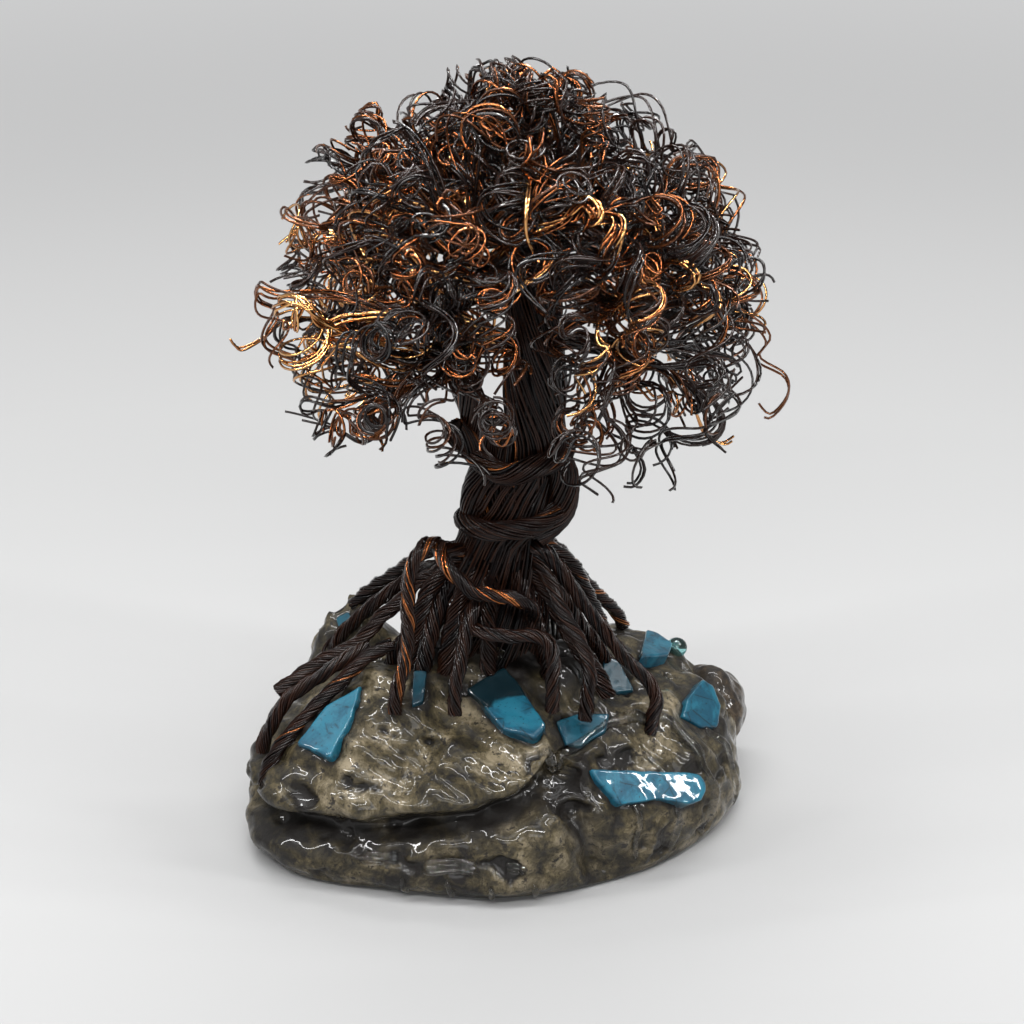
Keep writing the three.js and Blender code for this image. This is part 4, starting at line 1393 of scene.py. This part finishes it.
    def build(self, sweep: WireSweep, finish: bpy.types.Material) -> bpy.types.Object:
        """Builds all roots as one piece."""
        wires = Strands()
        for seed, root in enumerate(self.runs.values(), start=40):
            rows = [(*row, root.radius) for row in root.rows]
            rope = Bundle(rows, self.wires, self.turn if seed % 2 else -self.turn, root.copper, 3, 0.2, 2.0)
            rope.strands(wires, seed, self.wire)
            rope.filling(wires, self.wire)
        piece = sweep.make("root_ropes", wires, self.wire, WIRE_SIDES, finish)
        return settle(piece, Slot.DARK_WIRE, "trunk_and_roots")


# ---------------------------------------------------------------- the crown


@dataclass(frozen=True)
class CrownRing:
    """One ring of locks.

    Attributes:
        polar: its angle from the top, in degrees.
        locks: how many locks it has.
        tufts: how many branches carry them.
        leaves: the height at which its branches leave the trunk.
        parted: whether it leaves the front open.
    """

    polar: float
    locks: int
    tufts: int
    leaves: float
    parted: bool


class CurlForm(enum.Enum):
    """The ways in which a wire curls."""

    COIL = "hangs down in even turns"
    SNAIL = "winds outwards and faces out of the crown"
    WAVE = "swings from side to side"


@dataclass(frozen=True)
class Curl:
    """A run that a few wires share: a straight stem that winds ever tighter round its axis.

    Attributes:
        axis: places along the axis, from the trunk to the tip.
        drift: how much of the axis, from its tip, has full turns.
        radius: the radius of the turns.
        tightness: how steeply the wire winds: 0 is straight, and 1 would be a flat ring.
        opening: the radius of the first turns as a share of the last ones'.
        flat: how round the turns are, from 0 for a wave in one plane to 1 for a round coil.
        start: the angle of the first turn.
        swing: how wide the stem swings, as a share of the radius.
        STRIDE: the most millimetres of wire between places.
        BEND: the most that the wire turns between places, in radians.
        TIGHTEST: the most that tightness may be.
    """

    STRIDE = 6.0
    BEND = 0.46
    TIGHTEST = 0.993

    axis: Array
    drift: float
    radius: float
    tightness: float
    opening: float
    flat: float
    start: float
    swing: float

    def run(self, number: int) -> Array:
        """Places along one wire of the curl, with that wire's small differences."""
        rows = range(len(self.axis))
        aside = np.array([[between(-1, 1, number, 3 * row + part) for part in (60, 61, 62)] for row in rows])
        loose = np.linspace(1.6, 0.9, len(self.axis))[:, None]
        radius = self.radius * between(0.92, 1.08, number, 21)
        path = Path.through(np.column_stack([self.axis + aside * loose, np.ones(len(self.axis))]), 1.2).eased(6)
        length = path.travelled[-1]
        begin = length - self.drift * between(0.9, 1.1, number, 22)
        waves = self.swing * smooth(6, 26, path.travelled)
        turns = smooth(begin - 12, begin + 4, path.travelled)
        share = waves + (1 - waves) * turns
        tight = (0.4 + 0.6 * turns) * share**0.3 * self.tightness * between(0.985, 1.005, number, 24)
        tight = np.minimum(tight, self.TIGHTEST)
        growth = self.opening + (1 - self.opening) * smooth(begin, length, path.travelled)
        wander = 1 + 0.1 * np.sin(path.travelled * between(0.1, 0.2, number, 25) + TAU * chance(number, 26))
        reach = radius * share * growth * wander
        slant = 1 / np.sqrt(1 - tight**2)
        steps = np.diff(path.travelled)
        wire = np.concatenate([[0], np.cumsum(steps * (slant[1:] + slant[:-1]) / 2)])
        turning = tight * slant / np.maximum(reach, 1.2)
        angle = np.concatenate([[0], np.cumsum(steps * (turning[1:] + turning[:-1]) / 2)])
        places = wire / self.STRIDE + angle / self.BEND
        angle += self.start + between(-0.2, 0.2, number, 23)
        where = np.linspace(0, places[-1] * between(0.9, 1.0, number, 27), max(14, int(places[-1])))

        def read(values: Array) -> Array:
            """Values along the axis, read closer together where the wire bends."""
            return np.interp(where, places, values)

        def read_rows(rows: Array) -> Array:
            """The same for rows of three numbers."""
            return np.column_stack([read(rows[:, part]) for part in range(3)])

        turned_by, out = read(angle), read(reach)
        return (
            read_rows(path.points)
            + read_rows(path.across) * (out * np.cos(turned_by))[:, None]
            + read_rows(path.up) * (self.flat * out * np.sin(turned_by))[:, None]
        )


@dataclass(frozen=True)
class LooseWires:
    """Wires that stand out of the crown on a run of their own.

    Attributes:
        tuft: the number of the tuft that they belong to.
        rows: the places that they pass.
        wires: how many lie side by side.
        tone: their tone.
        spread: how far they lie apart.
    """

    tuft: int
    rows: Rows
    wires: int
    tone: float
    spread: float = 0.6


@dataclass
class Crown:
    """The mushroom-shaped crown of curled wires.

    Attributes:
        middle: the crown's middle.
        half: half its width, depth and height, measured from the middle.
        rings: its rings of locks, from the top down.
        parting: the azimuth of the front opening and half its width, in degrees.
        hub_inset: how far inside the surface a branch opens into its locks.
        trunk: x, y and height up the middle of the trunk, where branches leave it.
        wire: the wire's radius.
        spacing: the distance between places along a loose wire.
        bundles: how many curls each lock has.
        loose: wires that stand out of the crown.
    """

    middle: tuple[float, float, float] = (1.0, 0.0, 162.0)
    half: tuple[float, float, float] = (74.0, 71.0, 75.0)
    rings: tuple[CrownRing, ...] = (
        CrownRing(10, 3, 1, 205, False), CrownRing(31, 8, 4, 193, False), CrownRing(53, 11, 4, 180, False),
        CrownRing(75, 13, 5, 168, True), CrownRing(97, 13, 5, 152, True),
    )
    parting: tuple[float, float] = (276.0, 15.0)
    hub_inset: float = 38.0
    trunk: Rows = (
        (6.6, 0, 127), (6.7, 0, 140), (6.5, 0, 157), (6.2, 0.5, 176), (6, 1, 195), (6, 2, 211),
    )
    wire: float = 0.44
    spacing: float = 2.0
    bundles: int = 9
    loose: tuple[LooseWires, ...] = (
        LooseWires(15, ((29, -21, 150), (27, -20, 143), (25, -20, 137), (33, -20, 132.8), (38, -20, 125),
                        (36.3, -20, 119.3), (32.8, -20, 119)), 3, 0.1, 0.7),
        LooseWires(16, ((50, 9, 160), (62, 1, 166), (70, -4, 163), (74, -4, 157), (71, -4, 151), (79, -4, 146),
                        (80.5, -4, 140), (76, -4, 134), (71.5, -4, 138)), 2, 0.55, 1.0),
        LooseWires(9, ((6, 0, 188), (9, -22, 200), (10.6, -40, 197), (8.8, -43, 192.7), (-4, -44, 183),
                       (-4.6, -43, 177.5), (-5.2, -42, 171)), 2, 0.95, 0.6),
        LooseWires(6, ((6, 1, 195), (5, -25, 212), (4.2, -46, 211), (4, -49, 203), (5.6, -47, 197.8)), 2, 0.9, 0.6),
        LooseWires(19, ((-30, -5, 140), (-41.6, -10, 128.4), (-52.3, -10, 133), (-65.6, -10, 137)), 2, 0.1, 0.6),
        LooseWires(15, ((45, -8, 150), (52, -10, 140), (56, -10, 131), (62, -10, 127.5), (66, -10, 130)), 2, 0.85, 0.7),
        LooseWires(18, ((-50, 10, 158), (-64.6, 7, 160), (-72, 6, 154), (-78.6, 5, 151), (-81.2, 4, 154.6)),
                   2, 0.8, 0.8),
    )

    def point(self, azimuth: float, polar: float, inset: float) -> Array:
        """A point of the crown, inset inside its surface; angles in radians."""
        level = math.sin(polar)
        direction = np.array([level * math.cos(azimuth), level * math.sin(azimuth), math.cos(polar)])
        return np.array(self.middle) + direction * np.array(self.half) * (1 - inset / self.half[2])

    def compass(self, azimuth: float, polar: float) -> tuple[Array, Array, Array]:
        """The outward, hanging and sideways directions at a place of the crown."""
        out = unit(self.point(azimuth, polar, 0) - self.point(azimuth, polar, 10))
        hang = unit(self.point(azimuth, polar + 0.01, 0) - self.point(azimuth, polar, 0))
        return out, hang, np.cross(out, hang)

    def azimuths(self, ring: CrownRing, number: int) -> Array:
        """The azimuths of a ring's locks, in radians."""
        places = np.arange(ring.locks)
        if not ring.parted:
            return math.radians(self.parting[0]) + (places + 0.5) / ring.locks * TAU + number * 0.2
        start = self.parting[0] + self.parting[1]
        return np.radians(start + (360 - 2 * self.parting[1]) * places / (ring.locks - 1))

    def curl(self, start: Array, hub: Array, azimuth: float, polar: float, seed: int, parted: bool) -> Curl:
        """Chooses one curl near a lock.

        Args:
            start: where its branch leaves the trunk.
            hub: where the branch opens into its locks.
            azimuth: the lock's azimuth, in radians.
            polar: the lock's angle from the top, in radians.
            seed: the curl's number.
            parted: whether it keeps out of the front opening.

        Returns:
            The curl.
        """
        form = (CurlForm.COIL, CurlForm.SNAIL, CurlForm.WAVE)[int(chance(seed, 1) * 2.5)]
        azimuth += math.radians(between(-15, 15, seed, 2)) / max(math.sin(polar), 0.35)
        polar += math.radians(between(-12, 13, seed, 3))
        if parted:
            away = (azimuth - math.radians(self.parting[0]) + math.pi) % TAU - math.pi
            least = math.radians(self.parting[1] - 4)
            if abs(away) < least:
                azimuth += math.copysign(least - abs(away), away)
        out, hang, side = self.compass(azimuth, polar)
        radius = float(between(4.0, 8.6, seed, 4))
        opening = float(between(0.7, 1.0, seed, 14))
        if form is CurlForm.SNAIL:
            axis = out + side * between(-0.5, 0.5, seed, 6) + hang * between(-0.6, 0.3, seed, 7)
            drift, tightness, flat = between(6, 11, seed, 8), between(0.98, 0.99, seed, 9), between(0.8, 1, seed, 10)
            opening *= 0.6
        elif form is CurlForm.COIL:
            axis = hang + side * between(-0.8, 0.8, seed, 6) + out * between(-0.5, 0.5, seed, 7)
            drift, tightness, flat = between(13, 25, seed, 8), between(0.93, 0.972, seed, 9), between(0.75, 1, seed, 10)
        else:
            axis = hang + side * between(-0.7, 0.7, seed, 6) + out * between(-0.3, 0.4, seed, 7)
            drift, tightness, flat = between(22, 36, seed, 8), between(0.78, 0.9, seed, 9), between(0.5, 0.9, seed, 10)
        axis = unit(axis)
        deep = 0.8 * radius + 1.0 + 26 * float(chance(seed, 5)) ** 1.8
        middle = self.point(azimuth, polar, deep)
        first, last = middle - axis * drift * 0.5, middle + axis * drift * 0.5
        knee = start * 0.5 + hub * 0.5 + np.array([0, 0, 3.0])
        rows = np.array([start, knee, hub, (hub + first) / 2 + side * between(-5, 5, seed, 15), first, middle, last])
        start_angle, swing = TAU * float(chance(seed, 12)), float(between(0.15, 0.5, seed, 16))
        return Curl(rows, float(drift), radius, float(tightness), opening, float(flat), start_angle, swing)

    def kept_in(self, points: Array) -> Array:
        """Draws places beyond the crown's surface back towards it."""
        away = (points - np.array(self.middle)) / np.array(self.half)
        reach = np.linalg.norm(away, axis=1)
        allowed = np.where(reach > 0.985, 0.985 + 0.05 * np.tanh((reach - 0.985) / 0.07), reach)
        return np.array(self.middle) + away * (allowed / np.maximum(reach, 1e-9))[:, None] * np.array(self.half)

    def tone(self, where: Array, seed: int, number: int) -> float:
        """The tone of one wire: dark on top, with more copper low down, inside and to the left."""
        height = 1 - smooth(185, 232, where[2])
        left = 1 - smooth(-60, 15, where[0])
        inside = 1 - np.linalg.norm((where - np.array(self.middle)) / np.array(self.half))
        bright = 0.04 + 0.10 * height + 0.14 * height * left
        brown = bright + 0.22 + 0.35 * inside
        drawn = 0.75 * chance(seed, 41) + 0.25 * chance(number, 42)
        if drawn < bright:
            return float(between(0.75, 1.0, number, 43))
        if drawn < brown:
            return float(between(0.34, 0.68, number, 43))
        return float(between(0.0, 0.2, number, 43))

    def tuft(self, ring: CrownRing, own: Array, first_lock: int) -> Strands:
        """The wires of one branch.

        Args:
            ring: its ring.
            own: the azimuths of its locks.
            first_lock: a number for the first of them.

        Returns:
            The wires.
        """
        polar = math.radians(ring.polar)
        hub = self.point(float(own.mean()), polar * 0.93, 20 if ring.tufts == 1 else self.hub_inset)
        if ring.tufts == 1:
            hub[:2] = (6, 2)
        heights = [row[2] for row in self.trunk]
        start = along(np.array(self.trunk), np.interp(ring.leaves, heights, range(len(heights))))
        wires = Strands()
        for lock, azimuth in enumerate(own, start=first_lock):
            for share in range(self.bundles):
                seed = lock * 10 + share
                curl = self.curl(start, hub, float(azimuth), polar, seed, ring.parted)
                for k in range(2 + int(3.2 * chance(seed, 13))):
                    wire = seed * 10 + k
                    run = self.kept_in(curl.run(wire))
                    wires.add(run, self.tone(run[-1], seed, wire))
        return wires

    def stand_out(self, wires: Strands, loose: LooseWires) -> None:
        """Adds wires that leave the crown on their own run."""
        rows = np.array(loose.rows, float)
        count = max(12, int(np.linalg.norm(np.diff(rows, axis=0), axis=1).sum() / self.spacing))
        run = along(rows, np.linspace(0, len(rows) - 1, count))
        for k in range(loose.wires):
            number = loose.tuft * 100 + k
            share = np.linspace(0, 1, count)
            aside = np.array([between(-1, 1, number, channel) for channel in (51, 52, 53)]) * loose.spread
            phase = np.array([chance(number, channel) for channel in (54, 55, 56)]) * TAU
            swing = np.sin(share[:, None] * TAU * 1.3 + phase)
            end = count - int(4 * chance(number, 57))
            wires.add((run + aside + 0.5 * loose.spread * swing)[:end], loose.tone + between(-0.08, 0.08, number, 58))

    def build(self, sweep: WireSweep, finish: bpy.types.Material) -> Iterator[bpy.types.Object]:
        """Builds every tuft as a piece of its own."""
        made = 0
        for number, ring in enumerate(self.rings):
            azimuths = self.azimuths(ring, number)
            for tuft in range(ring.tufts):
                start = round(tuft * ring.locks / ring.tufts + 1e-9)
                end = round((tuft + 1) * ring.locks / ring.tufts + 1e-9)
                made += 1
                wires = self.tuft(ring, azimuths[start:end], number * 20 + start)
                for loose in self.loose:
                    if loose.tuft == made:
                        self.stand_out(wires, loose)
                name = f"crown_tuft_{made:02d}"
                slot = Slot.DARK_WIRE if (made - 1) % 3 else Slot.COPPER_WIRE
                log.info("%s: %d wires, %.2f m", name, len(wires.runs), wires.length())
                yield settle(sweep.make(name + "_wires", wires, self.wire, CURL_SIDES, finish), slot, name)


# ---------------------------------------------------------------- studio


@dataclass
class Studio:
    """The pale floor, the soft light and the camera.

    Attributes:
        floor: half the floor's width, in metres.
        eye: where the camera stands.
        pitch: how far it looks down, in degrees.
        lens: its focal length, in millimetres.
    """

    floor: float = 9.0
    eye: tuple[float, float, float] = (0.0, -0.6099, 0.3852)
    pitch: float = 25.0
    lens: float = 78.9

    def build(self) -> None:
        """Builds the floor, the lights and the camera."""
        self.lay_floor()
        self.light_world()
        self.light("overhead", (0.0, 0.1, 1.1), (0.9, 0.9), 6.0, (0, 0, 0.1))
        for name, x in (("strip_left", -0.36), ("strip_right", 0.36)):
            self.light(name, (x, -0.1, 0.62), (0.02, 0.7), 3.4, (0, 0, 0.1))
        for name, y in (("strip_front", -0.45), ("strip_back", 0.25)):
            self.light(name, (0.0, y, 0.62), (0.7, 0.02), 3.4, (0, 0, 0.1))
        self.light("front", (0.1, -1.2, 0.7), (0.7, 0.5), 4.0, (0, 0, 0.1))
        self.set_camera()

    def lay_floor(self) -> None:
        """Lays the floor just under the object."""
        reach = self.floor / MM
        corners = np.array([[-reach, -reach, 0], [reach, -reach, 0], [reach, reach, 0], [-reach, reach, 0]], float)
        made = surface_mesh("floor", corners - [0, 0, 0.05], np.array([[0, 1, 2, 3]]))
        finish = PlainFinish("pale_floor", (0.32, 0.32, 0.32), (0.80, 0.80, 0.80), (0.42, 0.42, 0.42))
        place("floor", made, finish.material())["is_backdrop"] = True

    @staticmethod
    def light_world() -> None:
        """Gives an even, pale surround."""
        world = bpy.data.worlds.new("surround")
        world.use_nodes = True
        background = world.node_tree.nodes["Background"]
        background.inputs["Color"].default_value = (0.95, 0.96, 0.97, 1)
        background.inputs["Strength"].default_value = 0.3
        bpy.context.scene.world = world

    @staticmethod
    def light(
        name: str, where: Sequence[float], size: Sequence[float], power: float, target: Sequence[float]
    ) -> None:
        """Hangs one soft rectangular light.

        Args:
            name: the light's name.
            where: its place, in metres.
            size: its width and height, in metres.
            power: its power in watts.
            target: what it points at.
        """
        lamp = bpy.data.lights.new(name, "AREA")
        lamp.shape = "RECTANGLE"
        lamp.size, lamp.size_y = size
        lamp.energy = power
        holder = bpy.data.objects.new(name, lamp)
        holder.location = where
        holder.rotation_euler = (Vector(target) - Vector(where)).to_track_quat("-Z", "Y").to_euler()
        bpy.context.scene.collection.objects.link(holder)

    def set_camera(self) -> None:
        """Sets the camera."""
        lens = bpy.data.cameras.new("camera")
        lens.lens = self.lens
        lens.sensor_width = 36.0
        lens.clip_start, lens.clip_end = 0.01, 40.0
        eye = bpy.data.objects.new("camera", lens)
        eye.location = self.eye
        eye.rotation_euler = (math.radians(90 - self.pitch), 0, 0)
        bpy.context.scene.collection.objects.link(eye)
        bpy.context.scene.camera = eye


def corners(box: Iterable[Vector]) -> list[list[float]]:
    """A box's two corners as plain lists."""
    return [[round(part, 6) for part in corner] for corner in box]


def main() -> None:
    """Builds the sculpture and its studio, in order."""
    bpy.context.scene.view_settings.view_transform = "Standard"
    sweep = WireSweep()
    stone = StoneFinish(
        "mottled_stone", (0.003, 0.0015, 0.0005), (0.055, 0.042, 0.018), (0.21, 0.172, 0.11), (0.022, 0.017, 0.007)
    )
    dark_stone = StoneFinish(
        "dark_brown_stone", (0.003, 0.0015, 0.0006), (0.035, 0.022, 0.010), (0.10, 0.07, 0.04), (0.016, 0.010, 0.004)
    )
    chunks = ChunkSet()
    base = StoneBase().build(stone.material(), chunks.chunks)
    SideStone().build(dark_stone.material())
    turquoise = TurquoiseFinish("sealed_turquoise").material()
    log.info("%d chunks are set", len(list(chunks.build(turquoise))))
    ClearBead().build(ResinFinish("clear_teal_resin", (0.35, 0.75, 0.75)).material())
    ResinCoat().build(base, sweep, ResinFinish("clear_resin", (0.95, 0.93, 0.88)).material())
    Trunk().build(sweep, WireFinish("trunk_wire", 0.3, 0.16, 1.25).material())
    Roots().build(sweep, WireFinish("resin_coated_wire", 0.6, 0.16, 1.25).material())
    crown_wire = WireFinish("crown_wire", 0.2, 0.11, 1.45).material()
    total = sum(len(piece.data.polygons) for piece in Crown().build(sweep, crown_wire))
    log.info("crown: %d faces", total)
    Studio().build()


if __name__ == "__main__":
    main()
    {"cad": corners(cad_box), "visual": corners(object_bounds())}
